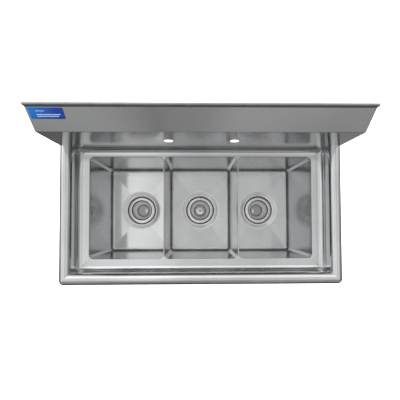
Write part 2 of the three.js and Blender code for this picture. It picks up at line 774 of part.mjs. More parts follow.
// Bullet foot and its threaded stem, turned in one piece
function foot() {
  const outline = points(
    [0, 0],
    [FOOT_BASE_R, 0],
    [FOOT_BASE_R + FOOT_CHAMFER, FOOT_CHAMFER],
    [FOOT_R - FOOT_CHAMFER, FOOT_WAIST],
    [FOOT_R, FOOT_SHOULDER],
    [FOOT_R, FOOT_HEIGHT - FOOT_TOP_FALL],
    [FOOT_R - FOOT_TOP_INSET, FOOT_HEIGHT],
    [STEM_R, FOOT_HEIGHT],
    [STEM_R, FOOT_HEIGHT + STEM_LENGTH],
    [0, FOOT_HEIGHT + STEM_LENGTH],
  );
  return new THREE.LatheGeometry(outline, LEG_SEGMENTS).rotateX(Math.PI / 2);
}

// Clamp round a leg with a socket for each brace that meets it. directions are unit steps in X
// and Y from the leg towards the far end of the brace.
function braceClamp(directions) {
  const low = -CLAMP_HEIGHT / 2;
  const high = CLAMP_HEIGHT / 2;
  const mouthR = BRACE_R + SLEEVE_CLEARANCE;
  const sockets = [];
  const bores = [uprightCylinder(SLEEVE_BORE_R, low - OVERLAP, high + OVERLAP, LEG_SEGMENTS)];
  for (const [dx, dy] of directions) {
    const turn = Math.atan2(dy, dx);
    const socketR = mouthR + BRACE_SLEEVE_WALL;
    const socketFrom = SLEEVE_BORE_R + OVERLAP;
    const mouthEnd = BRACE_SLEEVE_REACH + OVERLAP;
    sockets.push(cylinderAlongX(socketR, socketFrom, BRACE_SLEEVE_REACH, BRACE_SEGMENTS).rotateZ(turn));
    const bore = cylinderAlongX(mouthR, SLEEVE_R, mouthEnd, BRACE_SEGMENTS);
    bores.push(bore.rotateZ(turn));
  }
  const ring = uprightCylinder(SLEEVE_R, low, high, LEG_SEGMENTS);
  return geometryOf(cut(joined([ring, ...sockets]), bores));
}

function braceTube(length) {
  const outline = points(
    [BRACE_R - BRACE_WALL, -length / 2],
    [BRACE_R, -length / 2],
    [BRACE_R, length / 2],
    [BRACE_R - BRACE_WALL, length / 2],
  );
  return turned(outline, BRACE_SEGMENTS);
}

const corners = [
  { name: "front_left", side: -1, y: LEG_FRONT_Y, braces: [[0, 1]] },
  { name: "front_right", side: 1, y: LEG_FRONT_Y, braces: [[0, 1]] },
  { name: "back_left", side: -1, y: LEG_BACK_Y, braces: [[0, -1], [1, 0]] },
  { name: "back_right", side: 1, y: LEG_BACK_Y, braces: [[0, -1], [-1, 0]] },
];

for (const { name, side, y, braces } of corners) {
  const x = side * LEG_X;
  addPiece(`leg_socket_${name}`, sleeve(side), zincSteel(), x, y, SLEEVE_TOP_Z);
  addPiece(`leg_${name}`, legTube(), zincSteel(), x, y);
  addPiece(`leg_plug_${name}`, legPlug(), greyPlastic(), x, y);
  addPiece(`foot_${name}`, foot(), zincSteel(), x, y);
  addPiece(`brace_clamp_${name}`, braceClamp(braces), zincSteel(), x, y, BRACE_Z);
  const screw = addPiece(`set_screw_${name}`, setScrew(), zincSteel(), x, y, SLEEVE_TOP_Z - SCREW_DROP);
  screw.rotation.z = side > 0 ? 0 : Math.PI;
}

const BRACE_END = SLEEVE_R + GAP; // leg centre to the end of a brace
const sideBraceLength = LEG_BACK_Y - LEG_FRONT_Y - 2 * BRACE_END;
const sideBraceGeometry = braceTube(sideBraceLength).rotateX(Math.PI / 2);
const sideBraceY = (LEG_BACK_Y + LEG_FRONT_Y) / 2;
addPiece("brace_left", sideBraceGeometry, zincSteel(), -LEG_X, sideBraceY, BRACE_Z);
addPiece("brace_right", sideBraceGeometry, zincSteel(), LEG_X, sideBraceY, BRACE_Z);

const backBraceGeometry = braceTube(2 * (LEG_X - BRACE_END)).rotateY(Math.PI / 2);
addPiece("brace_back", backBraceGeometry, zincSteel(), 0, LEG_BACK_Y, BRACE_Z);

export default sink;
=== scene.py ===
# Looks of the three compartment sink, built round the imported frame.
import math

import bmesh
import bpy
from mathutils import Euler, Matrix, Vector


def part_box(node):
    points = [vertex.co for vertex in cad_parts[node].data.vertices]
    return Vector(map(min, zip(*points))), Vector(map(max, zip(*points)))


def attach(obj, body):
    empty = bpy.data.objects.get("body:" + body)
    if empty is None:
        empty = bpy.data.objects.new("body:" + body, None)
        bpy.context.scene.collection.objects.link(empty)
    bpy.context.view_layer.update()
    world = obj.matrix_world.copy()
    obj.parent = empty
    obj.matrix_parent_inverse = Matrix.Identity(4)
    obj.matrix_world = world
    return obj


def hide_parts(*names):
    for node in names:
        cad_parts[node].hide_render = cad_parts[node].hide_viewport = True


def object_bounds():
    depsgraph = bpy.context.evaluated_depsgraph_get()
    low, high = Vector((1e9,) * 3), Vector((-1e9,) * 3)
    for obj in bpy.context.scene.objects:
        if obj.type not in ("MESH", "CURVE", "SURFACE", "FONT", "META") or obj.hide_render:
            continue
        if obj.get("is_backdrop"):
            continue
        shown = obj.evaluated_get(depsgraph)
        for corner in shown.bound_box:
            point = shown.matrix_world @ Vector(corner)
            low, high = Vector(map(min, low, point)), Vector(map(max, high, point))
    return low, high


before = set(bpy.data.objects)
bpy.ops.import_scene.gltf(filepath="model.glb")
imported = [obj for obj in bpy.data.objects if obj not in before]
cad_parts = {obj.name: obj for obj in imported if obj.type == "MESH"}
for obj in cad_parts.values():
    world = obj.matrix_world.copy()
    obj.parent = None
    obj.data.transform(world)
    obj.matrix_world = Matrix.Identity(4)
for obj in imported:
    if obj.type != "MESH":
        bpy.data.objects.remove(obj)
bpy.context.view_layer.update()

MM = 0.001
SINK = "sink"

# ---- sizes, in millimetres

SHEET = 1.2
BOWL_NAMES = ("left", "center", "right")
CORNER_NAMES = ("front_left", "front_right", "back_left", "back_right")


def box_mm(node):
    low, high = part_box(node)
    return low / MM, high / MM


def middle_mm(node):
    return [(low + high) / 2 for low, high in zip(*box_mm(node))]


whole_low, whole_high = (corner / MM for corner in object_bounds())
HALF_WIDTH = whole_high.x
FRONT_Y = whole_low.y
WALL_Y = whole_high.y
TOP_Z = whole_high.z

ledge_low, ledge_high = box_mm("front_rim")
LEDGE_Z = ledge_low.z + SHEET
ROLL_R = 19.05
ROLL_RISE = ledge_high.z - LEDGE_Z - ROLL_R
ROLL_SWEEP = 300
COVE_R = 18
OUTER_CORNER_R = 16  # front corners of the rolled edge, seen from above
RISER_INSET = 2 * ROLL_R

bowl_low, bowl_high = box_mm("bowl_center")
BOWL_HALF_W = (bowl_high.x - bowl_low.x) / 2 - SHEET
BOWL_HALF_L = (bowl_high.y - bowl_low.y) / 2 - SHEET
BOWL_Y = middle_mm("bowl_center")[1]
BOWL_CORNER_R = 15
BOWL_COVE_R = 12
BOWL_LIP_R = 2
LIP_STOP = 75  # degrees of the lip's bend that end beside the ledge
SEAT_Z = bowl_low.z + SHEET
SEAT_DROP = 9
FLOOR_Z = SEAT_Z + SEAT_DROP
FLOOR_FALL = 7
SEAT_R = 61
DRAIN_HOLE_R = 46
BOWL_X = {name: middle_mm(f"bowl_{name}")[0] for name in BOWL_NAMES}
OPENING_FRONT_Y = BOWL_Y - BOWL_HALF_L
OPENING_BACK_Y = BOWL_Y + BOWL_HALF_L
OPENING_HALF_W = BOWL_X["right"] + BOWL_HALF_W
RIM_WIDTH = HALF_WIDTH - OPENING_HALF_W

PLATE_GAP = 0.3  # between the splash and its end plates
SPLASH_Y = box_mm("splash_end_right")[0].y - SHEET - PLATE_GAP
HEM_R = 3.8
HEM_DROP = 12.7
HEM_Z = TOP_Z - HEM_R
LIP_Y = WALL_Y - 2 * HEM_R
SPLASH_RUN = LIP_Y - SPLASH_Y
SPLASH_LIP = 12.7
SPLASH_FACE_TOP = TOP_Z - SPLASH_LIP - SPLASH_RUN
SPLASH_BEND_R = 2.5
FAUCET_X = 101.6
FAUCET_Z = LEDGE_Z + 100
FAUCET_HOLE_R = 14.3

# ---- shapes: (vertices, faces) in millimetres


def arc(cx, cy, radius, start, stop, steps):
    found = []
    for i in range(steps + 1):
        angle = math.radians(start + (stop - start) * i / steps)
        found.append((cx + radius * math.cos(angle), cy + radius * math.sin(angle)))
    return found


def rounded(path, radius, steps=5):
    """The open path with each inner corner turned into an arc."""
    found = [path[0]]
    for before, corner, after in zip(path, path[1:], path[2:]):
        corner = Vector(corner)
        a = (Vector(before) - corner).normalized()
        b = (Vector(after) - corner).normalized()
        half = a.angle(b) / 2
        centre = corner + (a + b).normalized() * (radius / math.sin(half))
        first = corner + a * (radius / math.tan(half)) - centre
        last = corner + b * (radius / math.tan(half)) - centre
        sweep = first.angle_signed(last)
        for i in range(steps + 1):
            found.append(tuple(centre + Matrix.Rotation(-sweep * i / steps, 2) @ first))
    return found + [path[-1]]


def bent_sheet(path, thickness, side):
    """The closed outline of a bent sheet. It lies to the left of the path, or with side -1 to the right."""
    steps = [(Vector(b) - Vector(a)).normalized() for a, b in zip(path, path[1:])]
    other = []
    for i, point in enumerate(path):
        into = steps[max(i - 1, 0)]
        out = steps[min(i, len(steps) - 1)]
        along = (into + out).normalized()
        reach = thickness / along.dot(into)
        other.append((point[0] - side * along.y * reach, point[1] + side * along.x * reach))
    return list(path) + other[::-1]


def skin(rings, capped=True, looped=False):
    """Faces between closed rings of equal length. looped joins the last ring to the first."""
    size = len(rings[0])
    verts = [tuple(p) for ring in rings for p in ring]
    faces = []
    pairs = list(zip(range(len(rings)), range(1, len(rings))))
    if looped:
        pairs.append((len(rings) - 1, 0))
    for a, b in pairs:
        for i in range(size):
            j = (i + 1) % size
            faces.append((a * size + i, a * size + j, b * size + j, b * size + i))
    if capped and not looped:
        faces.append(tuple(range(size))[::-1])
        faces.append(tuple((len(rings) - 1) * size + i for i in range(size)))
    return verts, faces


def merged(*shapes):
    verts, faces = [], []
    for shape_verts, shape_faces in shapes:
        start = len(verts)
        verts += shape_verts
        faces += [tuple(start + i for i in face) for face in shape_faces]
    return verts, faces


def placed(shape, matrix):
    return [tuple(matrix @ Vector(v)) for v in shape[0]], shape[1]


def at(shape, x, y, z):
    return placed(shape, Matrix.Translation((x, y, z)))


def mirrored(shape):
    return [(-x, y, z) for x, y, z in shape[0]], [face[::-1] for face in shape[1]]


def polar(radius, angle, z):
    return (radius * math.cos(angle), radius * math.sin(angle), z)


def ring(radius, z, segments):
    step = 2 * math.pi / segments
    return [polar(radius, i * step, z) for i in range(segments)]


def turned(profile, segments=64):
    """Closed profile of (radius, height) turned about Z. A profile that touches the axis closes there."""
    on_axis = profile[0][0] == 0 and profile[-1][0] == 0
    return skin([ring(r, z, segments) for r, z in profile], capped=False, looped=not on_axis)


def cylinder(radius, low, high, segments=64):
    return turned([(0, low), (radius, low), (radius, high), (0, high)], segments)


def level(outline, z):
    return [(a, b, z) for a, b in outline]


def along_x(outline, x0, x1):
    return skin([[(x, a, b) for a, b in outline] for x in (x0, x1)])


def along_y(outline, y0, y1):
    return skin([[(a, y, b) for a, b in outline] for y in (y0, y1)])


def along_z(outline, z0, z1):
    return skin([level(outline, z) for z in (z0, z1)])


def rounded_rectangle(cx, cy, half_w, half_l, radius, steps=10):
    right, back = half_w - radius, half_l - radius
    return (
        arc(cx + right, cy - back, radius, -90, 0, steps)
        + arc(cx + right, cy + back, radius, 0, 90, steps)
        + arc(cx - right, cy + back, radius, 90, 180, steps)
        + arc(cx - right, cy - back, radius, 180, 270, steps)
    )


BEAD_SEGMENTS = 10


def tube(path, radius_at):
    """A round bead along a path of points. radius_at takes the share of the way along."""
    turn = [2 * math.pi * k / BEAD_SEGMENTS for k in range(BEAD_SEGMENTS)]
    rings = []
    for i, point in enumerate(path):
        before, after = path[max(i - 1, 0)], path[min(i + 1, len(path) - 1)]
        ahead = (Vector(after) - Vector(before)).normalized()
        side = ahead.orthogonal().normalized()
        up = ahead.cross(side)
        radius = radius_at(i / (len(path) - 1))
        rings.append([Vector(point) + radius * (side * math.cos(t) + up * math.sin(t)) for t in turn])
    return skin(rings)


# ---- pieces


SAME_POINT = 2e-6  # metres
NO_LENGTH = 1e-7
SHARP = 35  # degrees, from which an edge is drawn sharp


def raw_mesh(name, shape):
    mesh = bpy.data.meshes.new(name)
    mesh.from_pydata([tuple(c * MM for c in v) for v in shape[0]], [], shape[1])
    return mesh


def clean_mesh(name, shape, dissolve=True):
    mesh = raw_mesh(name, shape)
    bm = bmesh.new()
    bm.from_mesh(mesh)
    bmesh.ops.remove_doubles(bm, verts=bm.verts, dist=SAME_POINT)
    if dissolve:
        bmesh.ops.dissolve_degenerate(bm, edges=bm.edges, dist=NO_LENGTH)
    bmesh.ops.recalc_face_normals(bm, faces=bm.faces)
    bm.to_mesh(mesh)
    bm.free()
    return mesh


def linked(name, data):
    obj = bpy.data.objects.new(name, data)
    bpy.context.scene.collection.objects.link(obj)
    return obj


def piece(name, shape, material, replaces=(), body=SINK, sharp=SHARP):
    return dressed(name, clean_mesh(name, shape), material, replaces, body, sharp)


def dressed(name, mesh, material, replaces, body=SINK, sharp=SHARP):
    mesh.shade_smooth()
    mesh.set_sharp_from_angle(angle=math.radians(sharp))
    obj = linked(name, mesh)
    obj.data.materials.append(material)
    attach(obj, body)
    if replaces:
        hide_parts(*replaces)
    return obj


def finish_part(obj, material, holds):
    """Gives another material to the faces whose middle, in millimetres, holds(x, y, z)."""
    obj.data.materials.append(material)
    index = len(obj.data.materials) - 1
    for face in obj.data.polygons:
        if holds(*(face.center / MM)):
            face.material_index = index


def boolean_mesh(shape, cutters):
    """A mesh of the shape with the cutters' shapes taken out of it."""
    blank, *tools = (linked("cutter", clean_mesh("cutter", s, dissolve=False)) for s in (shape, *cutters))
    for tool in tools:
        boolean = blank.modifiers.new("cut", "BOOLEAN")
        boolean.operation = "DIFFERENCE"
        boolean.solver = "EXACT"
        boolean.object = tool
    depsgraph = bpy.context.evaluated_depsgraph_get()
    mesh = bpy.data.meshes.new_from_object(blank.evaluated_get(depsgraph))
    for obj in (blank, *tools):
        old = obj.data
        bpy.data.objects.remove(obj)
        bpy.data.meshes.remove(old)
    return mesh


def cut_piece(name, shape, cutters, material, replaces):
    mesh = boolean_mesh(shape, cutters)
    mesh.name = name
    return dressed(name, mesh, material, replaces)


# ---- materials


class Nodes:
    """Short words for building a node tree."""

    def __init__(self, owner):
        owner.use_nodes = True
        self.tree = owner.node_tree

    def link(self, source, target):
        """Links the target to a node's output, or sets it to a plain value."""
        if isinstance(source, bpy.types.NodeSocket):
            self.tree.links.new(source, target)
        else:
            target.default_value = source

    def node(self, kind, inputs, **settings):
        made = self.tree.nodes.new(kind)
        for key, value in settings.items():
            setattr(made, key, value)
        for key, source in inputs.items():
            self.link(source, made.inputs[key])
        return made

    def spread(self, source, low, high, source_low=0.3, source_high=0.7):
        """source, carried from its usual range to low..high."""
        ends = {"From Min": source_low, "From Max": source_high, "To Min": low, "To Max": high}
        return self.node("ShaderNodeMapRange", {"Value": source, **ends}).outputs["Result"]

    def maths(self, first, second, kind="ADD"):
        return self.node("ShaderNodeMath", {0: first, 1: second}, operation=kind).outputs["Value"]


class Surface(Nodes):
    """The node tree of a material."""

    def __init__(self, name):
        self.material = bpy.data.materials.new(name)
        super().__init__(self.material)
        self.shader = self.tree.nodes["Principled BSDF"]
        self.place = self.node("ShaderNodeTexCoord", {}).outputs["Object"]

    def feed(self, key, source):
        self.link(source, self.shader.inputs[key])

    def noise(self, scale, stretch=(1, 1, 1), detail=3, rough=0.5):
        mapping = self.node("ShaderNodeMapping", {"Vector": self.place, "Scale": stretch})
        inputs = {"Vector": mapping.outputs["Vector"], "Scale": scale, "Detail": detail, "Roughness": rough}
        return self.node("ShaderNodeTexNoise", inputs).outputs["Fac"]

    def colour(self, source, first, second):
        """The surface's colour, mixed by source from the first to the second."""
        first, second = ((*c, 1) if isinstance(c, tuple) else c for c in (first, second))
        mix = self.node("ShaderNodeMix", {"Factor": source, "A": first, "B": second}, data_type="RGBA")
        self.feed("Base Color", mix.outputs["Result"])
        return mix.outputs["Result"]

    def bump(self, height, strength, distance, **under):
        inputs = {"Height": height, "Strength": strength, "Distance": distance, **under}
        return self.node("ShaderNodeBump", inputs).outputs["Normal"]


def brushed(name, tint, rough, grain, wave):
    """Stainless sheet. grain is how far the brush marks are stretched along X, Y and Z."""
    made = Surface(name)
    made.feed("Metallic", 1.0)
    marks = made.noise(1.0, grain, detail=4, rough=0.65)
    patches = made.noise(9, detail=2)
    waves = made.noise(3.2, detail=1)
    light = tuple(c * 1.05 for c in tint)
    dark = tuple(c * 0.9 for c in tint)
    made.colour(made.spread(made.maths(marks, patches, "MULTIPLY"), 0, 1, 0.12, 0.4), dark, light)
    fine = made.spread(marks, rough - 0.05, rough + 0.06)
    made.feed("Roughness", made.maths(fine, made.spread(patches, -0.03, 0.04)))
    made.feed("Normal", made.bump(marks, 0.05, 0.0004, Normal=made.bump(waves, wave, 0.004)))
    return made.material


def smooth_metal(name, tint, rough, patch_scale, grit=0.04, metallic=1.0):
    """Turned, cast or plated metal without a brush direction."""
    made = Surface(name)
    made.feed("Metallic", metallic)
    patches = made.noise(patch_scale, detail=3)
    fine = made.noise(patch_scale * 14, detail=4, rough=0.7)
    made.colour(made.spread(patches, 0, 1), tuple(c * 0.86 for c in tint), tint)
    made.feed("Roughness", made.spread(fine, rough - 0.05, rough + 0.05))
    made.feed("Normal", made.bump(fine, grit, 0.0006))
    return made.material


def galvanised(name, tint):
    """Zinc coat: pale crystals with soft edges."""
    made = Surface(name)
    made.feed("Metallic", 1.0)
    crystals = made.node("ShaderNodeTexVoronoi", {"Vector": made.place, "Scale": 130}, feature="F1")
    grey = made.node("ShaderNodeRGBToBW", {"Color": crystals.outputs["Color"]})
    cloud = made.noise(20, detail=3)
    shade = made.maths(grey.outputs["Val"], cloud, "MULTIPLY")
    made.colour(made.spread(shade, 0, 1, 0.05, 0.5), tuple(c * 0.8 for c in tint), tint)
    made.feed("Roughness", made.spread(shade, 0.34, 0.52, 0.05, 0.5))
    made.feed("Normal", made.bump(cloud, 0.06, 0.001))
    return made.material


def dull(name, tint, rough):
    made = Surface(name)
    fine = made.noise(900, detail=3)
    cloud = made.noise(40, detail=2)
    made.colour(made.spread(cloud, 0, 1), tuple(c * 0.8 for c in tint), tint)
    made.feed("Roughness", made.spread(fine, rough - 0.06, rough + 0.06))
    made.feed("Normal", made.bump(fine, 0.15, 0.0003))
    return made.material


STEEL = (0.60, 0.605, 0.61)
BOWL_TINT = (0.57, 0.575, 0.58)
GRAIN_X = (6, 900, 900)
GRAIN_Y = (900, 6, 900)
GRAIN_Z = (500, 500, 7)
along_x_steel = brushed("steel_grain_along_x", STEEL, 0.18, GRAIN_X, 0.15)
front_rim_steel = brushed("steel_front_rim", STEEL, 0.24, GRAIN_X, 0.15)
along_y_steel = brushed("steel_grain_along_y", STEEL, 0.18, GRAIN_Y, 0.15)
bowl_steel = brushed("steel_bowl", BOWL_TINT, 0.12, GRAIN_Z, 0.08)
wall_steel = brushed("steel_bowl_wall", BOWL_TINT, 0.2, GRAIN_Z, 0.05)
# Painted light: a paler, rougher copy of the bowl steel on the dish round each drain, which lightens the
# dark crescents of reflection in it.
dish_painted_light_steel = smooth_metal("steel_dish_painted_light", (0.71, 0.715, 0.72), 0.36, 30, grit=0.05)
# Painted shade: a darker, rougher copy of the sheet steel for the folded lip along the splash's top.
lip_painted_shade_steel = smooth_metal("steel_folded_lip_painted_shade", (0.47, 0.467, 0.46), 0.58, 40, grit=0.05)
# Painted shade: the near-black bore of the tail tube, for the shade down inside the pipe.
pipe_inside_painted_shade = dull("steel_pipe_inside_painted_shade", (0.05, 0.05, 0.048), 0.6)
cove_steel = smooth_metal("steel_ground_cove", (0.66, 0.665, 0.67), 0.4, 30, grit=0.08)
# Painted shade: near-black faces for the dark lines of shade round the drains' cups, strainers and flanges.
painted_shade_black = dull("steel_shadow_lines_painted_black", (0.006, 0.006, 0.006), 0.9)
plain_steel = smooth_metal("steel_mill_finish", (0.5, 0.51, 0.52), 0.36, 30)
weld_steel = smooth_metal("steel_weld", (0.75, 0.75, 0.74), 0.32, 260, grit=0.3)
drain_steel = smooth_metal("steel_polished", (0.7, 0.705, 0.71), 0.24, 60, grit=0.02)
satin_steel = smooth_metal("steel_satin", (0.72, 0.72, 0.72), 0.36, 60, grit=0.05, metallic=0.6)
# Painted shade: the strainer's steel is darker than the drain's, for the shade at the bottom of the cup and
# to hold down the highlight on its knob.
strainer_painted_shade_steel = smooth_metal("steel_stamped_painted_shade", (0.46, 0.463, 0.466), 0.36, 240, grit=0.3)
cast_zinc = smooth_metal("zinc_cast", (0.5, 0.515, 0.525), 0.42, 120, grit=0.12)
zinc = galvanised("steel_galvanised", (0.62, 0.64, 0.65))
rubber = dull("rubber_black", (0.02, 0.02, 0.021), 0.8)
plug_plastic = dull("plastic_dark_grey", (0.06, 0.062, 0.065), 0.55)

# ---- rolled rim


def rim_outline():
    """Bent sheet of the rim: (inset from the outside of the roll, height over the ledge)."""
    path = [(RIM_WIDTH + BOWL_CORNER_R, 0)]
    path += arc(RISER_INSET + COVE_R, COVE_R, COVE_R, 270, 180, 12)
    path += arc(ROLL_R, ROLL_RISE, ROLL_R, 0, ROLL_SWEEP, 50)
    return bent_sheet(path, SHEET, 1)


def corner_point(inset, height, degrees):
    """A point of the rim's section where it turns the front right corner. -90 faces front, 0 faces right."""
    if inset >= OUTER_CORNER_R:
        return (HALF_WIDTH - inset, FRONT_Y + inset, LEDGE_Z + height)
    angle = math.radians(degrees)
    radius = OUTER_CORNER_R - inset
    x = HALF_WIDTH - OUTER_CORNER_R + radius * math.cos(angle)
    y = FRONT_Y + OUTER_CORNER_R + radius * math.sin(angle)
    return (x, y, LEDGE_Z + height)


def front_rim():
    right = [[corner_point(u, v, d) for u, v in rim_outline()] for d in (-45, -60, -75, -90)]
    left = [[(-x, y, z) for x, y, z in row] for row in right[::-1]]
    return skin(right + left)


def right_rim():
    outline = rim_outline()
    rows = [[corner_point(u, v, d) for u, v in outline] for d in (-45, -30, -15, 0)]
    rows.append([(HALF_WIDTH - u, SPLASH_Y, LEDGE_Z + v) for u, v in outline])
    return skin(rows)


LIP_REACH = BOWL_LIP_R * (1 - math.cos(math.radians(LIP_STOP)))
CUT = 40  # how far a cutter runs past the sheet


def opening_cutters():
    half_w, half_l = BOWL_HALF_W + LIP_REACH, BOWL_HALF_L + LIP_REACH
    radius = BOWL_CORNER_R + LIP_REACH
    return [
        along_z(rounded_rectangle(x, BOWL_Y, half_w, half_l, radius), LEDGE_Z - CUT, LEDGE_Z + CUT)
        for x in BOWL_X.values()
    ]


RISER_X = HALF_WIDTH - RISER_INSET
BACK_LEDGE = SPLASH_Y - OPENING_BACK_Y
WEB_X = OPENING_HALF_W - BOWL_CORNER_R


def splash_corner():
    """Plan of what the side rim covers at the back right corner, up to its mitre with the splash."""
    return [
        (WEB_X, OPENING_FRONT_Y),
        (HALF_WIDTH + CUT, OPENING_FRONT_Y),
        (HALF_WIDTH + CUT, SPLASH_Y + CUT),
        (RISER_X, SPLASH_Y + CUT),
        (RISER_X, SPLASH_Y),
        (RISER_X - BACK_LEDGE, OPENING_BACK_Y),
        (WEB_X, OPENING_BACK_Y),
    ]


def side_rim_trim():
    """Plan of what the splash covers at the back right corner."""
    return [
        (RISER_X - BACK_LEDGE, OPENING_BACK_Y),
        (RISER_X, SPLASH_Y),
        (RISER_X, SPLASH_Y + CUT),
        (0, SPLASH_Y + CUT),
        (0, OPENING_BACK_Y),
    ]


def build_rims():
    cutters = opening_cutters()
    cut_piece("rim_front", front_rim(), cutters, front_rim_steel, ["front_rim"])
    trim = along_z(side_rim_trim(), LEDGE_Z - CUT, LEDGE_Z + COVE_R + 1)
    right = right_rim()
    cut_piece("rim_right", right, [*cutters, trim], along_y_steel, ["right_rim"])
    cutters_left = [*cutters, mirrored(trim)]
    cut_piece("rim_left", mirrored(right), cutters_left, along_y_steel, ["left_rim"])


# ---- splash


def splash_path():
    folded = rounded(
        [
            (SPLASH_Y, LEDGE_Z + COVE_R),
            (SPLASH_Y, SPLASH_FACE_TOP),
            (LIP_Y, SPLASH_FACE_TOP + SPLASH_RUN),
            (LIP_Y, HEM_Z),
        ],
        SPLASH_BEND_R,
    )
    cove = arc(SPLASH_Y - COVE_R, LEDGE_Z + COVE_R, COVE_R, 270, 360, 12)
    hem = arc(LIP_Y + HEM_R, HEM_Z, HEM_R, 180, 0, 12)
    start = (OPENING_BACK_Y - BOWL_CORNER_R, LEDGE_Z)
    return [start] + cove + folded[1:-1] + hem + [(WALL_Y, HEM_Z - HEM_DROP)]


def build_splash():
    whole = along_x(bent_sheet(splash_path(), SHEET, -1), -HALF_WIDTH, HALF_WIDTH)
    corner = along_z(splash_corner(), LEDGE_Z - CUT, LEDGE_Z + COVE_R)
    holes = []
    for x in (-FAUCET_X, FAUCET_X):
        turn = Matrix.Translation((x, SPLASH_Y, FAUCET_Z)) @ Matrix.Rotation(math.pi / 2, 4, "X")
        holes.append(placed(cylinder(FAUCET_HOLE_R, -CUT, CUT), turn))
    cutters = [corner, mirrored(corner), *holes, *opening_cutters()]
    splash = cut_piece("splash", whole, cutters, along_x_steel, ["backsplash"])
    # The folded lip gets the darker steel, as painted shade.
    finish_part(splash, lip_painted_shade_steel, lambda x, y, z: z > SPLASH_FACE_TOP + SPLASH_RUN + 1)
    for side in ("left", "right"):
        low, high = box_mm(f"splash_end_{side}")
        shape = along_x(end_plate_outline(low, high), low.x, high.x)
        piece(f"splash_end_plate_{side}", shape, plain_steel, [f"splash_end_{side}"])


END_PLATE_WALL_EDGE = 120
END_PLATE_CORNER_R = 1.5


def end_plate_outline(low, high):
    """Side view of an end plate, which stays the gap under the splash's slope."""
    front_top = SPLASH_FACE_TOP + low.y - SPLASH_Y - (SHEET + PLATE_GAP) * math.sqrt(2)
    corners = [
        (low.y, low.z),
        (high.y, high.z - END_PLATE_WALL_EDGE),
        (high.y, high.z),
        (low.y + high.z - front_top, high.z),
        (low.y, front_top),
    ]
    closed = [corners[-1], *corners, corners[0]]
    return rounded(closed, END_PLATE_CORNER_R, 3)[1:-1]


# ---- bowls


BOWL_EDGE_STEPS = 12


def bowl_loop(inset):
    """A level outline of the bowl, that far in from its walls, as (x, y) about its centre."""
    radius = max(BOWL_CORNER_R - inset, 0.5)
    right = BOWL_HALF_W - inset - radius
    back = BOWL_HALF_L - inset - radius
    found = []
    centres = ((right, -back), (right, back), (-right, back), (-right, -back))
    for k, (cx, cy) in enumerate(centres):
        corner = arc(cx, cy, radius, 90 * k - 90, 90 * k, 8)
        nx, ny = centres[(k + 1) % 4]
        end = corner[-1]
        turn = math.radians(90 * k)
        start = (nx + radius * math.cos(turn), ny + radius * math.sin(turn))
        for i in range(1, BOWL_EDGE_STEPS):
            corner.append(tuple(Vector(end).lerp(Vector(start), i / BOWL_EDGE_STEPS)))
        found += corner
    return found


CREASE_POWER = 60  # higher makes the floor's creases sharper
DISH_EDGE_R = 83  # where the dish's soft slope meets the planes


def floor_height(x, y):
    """Height of the bowl floor over its seat: four planes that fall to a dish round the drain."""
    across = abs(x) / (BOWL_HALF_W - BOWL_COVE_R)
    along = abs(y) / (BOWL_HALF_L - BOWL_COVE_R)
    out = (across**CREASE_POWER + along**CREASE_POWER) ** (1 / CREASE_POWER)
    planes = SEAT_DROP - FLOOR_FALL * (1 - min(out, 1))
    share = (math.hypot(x, y) - SEAT_R) / (DISH_EDGE_R - SEAT_R)
    share = min(max(share, 0), 1)
    return planes * share * share * (3 - 2 * share)


def bowl_rows():
    """Level outlines of the bowl's inner face, from its lip down to the drain hole."""
    rows = []
    for degrees in range(LIP_STOP, -1, -15):
        angle = math.radians(degrees)
        z = LEDGE_Z - BOWL_LIP_R * (1 - math.sin(angle))
        rows.append(level(bowl_loop(-BOWL_LIP_R * (1 - math.cos(angle))), z))
    wall_top, wall_foot = LEDGE_Z - BOWL_LIP_R, FLOOR_Z + BOWL_COVE_R
    for i in range(1, 9):
        rows.append(level(bowl_loop(0), wall_top + (wall_foot - wall_top) * i / 9))
    for degrees in range(0, 91, 10):
        angle = math.radians(degrees)
        z = wall_foot - BOWL_COVE_R * math.sin(angle)
        rows.append(level(bowl_loop(BOWL_COVE_R * (1 - math.cos(angle))), z))
    foot = bowl_loop(BOWL_COVE_R)
    ring_r = DISH_EDGE_R + 2
    rows += [[floor_point(p, ring_r, i / 12) for p in foot] for i in range(1, 13)]
    for i in range(1, 14):
        rows.append([floor_point(p, ring_r + (SEAT_R - ring_r) * i / 13, 1) for p in foot])
    rows += [[floor_point(p, radius, 1) for p in foot] for radius in (SEAT_R - 2, DRAIN_HOLE_R)]
    return rows


def floor_point(foot, radius, share):
    """A point on the floor, that share of the way from the wall's foot to the circle of that radius."""
    start = Vector(foot)
    point = start.lerp(start.normalized() * radius, share)
    return (point.x, point.y, SEAT_Z + floor_height(point.x, point.y))


def thickened(rows):
    """The rows of the bowl's inner face, then those of its outer face, one sheet further out or down."""
    outer = []
    size = len(rows[0])
    for i, row in enumerate(rows):
        above, below = rows[max(i - 1, 0)], rows[min(i + 1, len(rows) - 1)]
        made = []
        for k, point in enumerate(row):
            down = Vector(below[k]) - Vector(above[k])
            round_it = Vector(row[(k + 1) % size]) - Vector(row[k - 1])
            made.append(tuple(Vector(point) - SHEET * round_it.cross(down).normalized()))
        outer.append(made)
    return rows + outer[::-1]


COVE_EDGE = BOWL_COVE_R - 0.2


def in_floor_cove(x, y, z):
    """The bend between the floor and the walls, which is ground by hand."""
    off_the_floor = abs(x) > BOWL_HALF_W - COVE_EDGE or abs(y) > BOWL_HALF_L - COVE_EDGE
    return off_the_floor and z < FLOOR_Z + COVE_EDGE


def within(radius, drain_x):
    """Whether a place is within that radius of the drain's axis."""
    return lambda x, y, z: math.hypot(x - drain_x, y - BOWL_Y) < radius


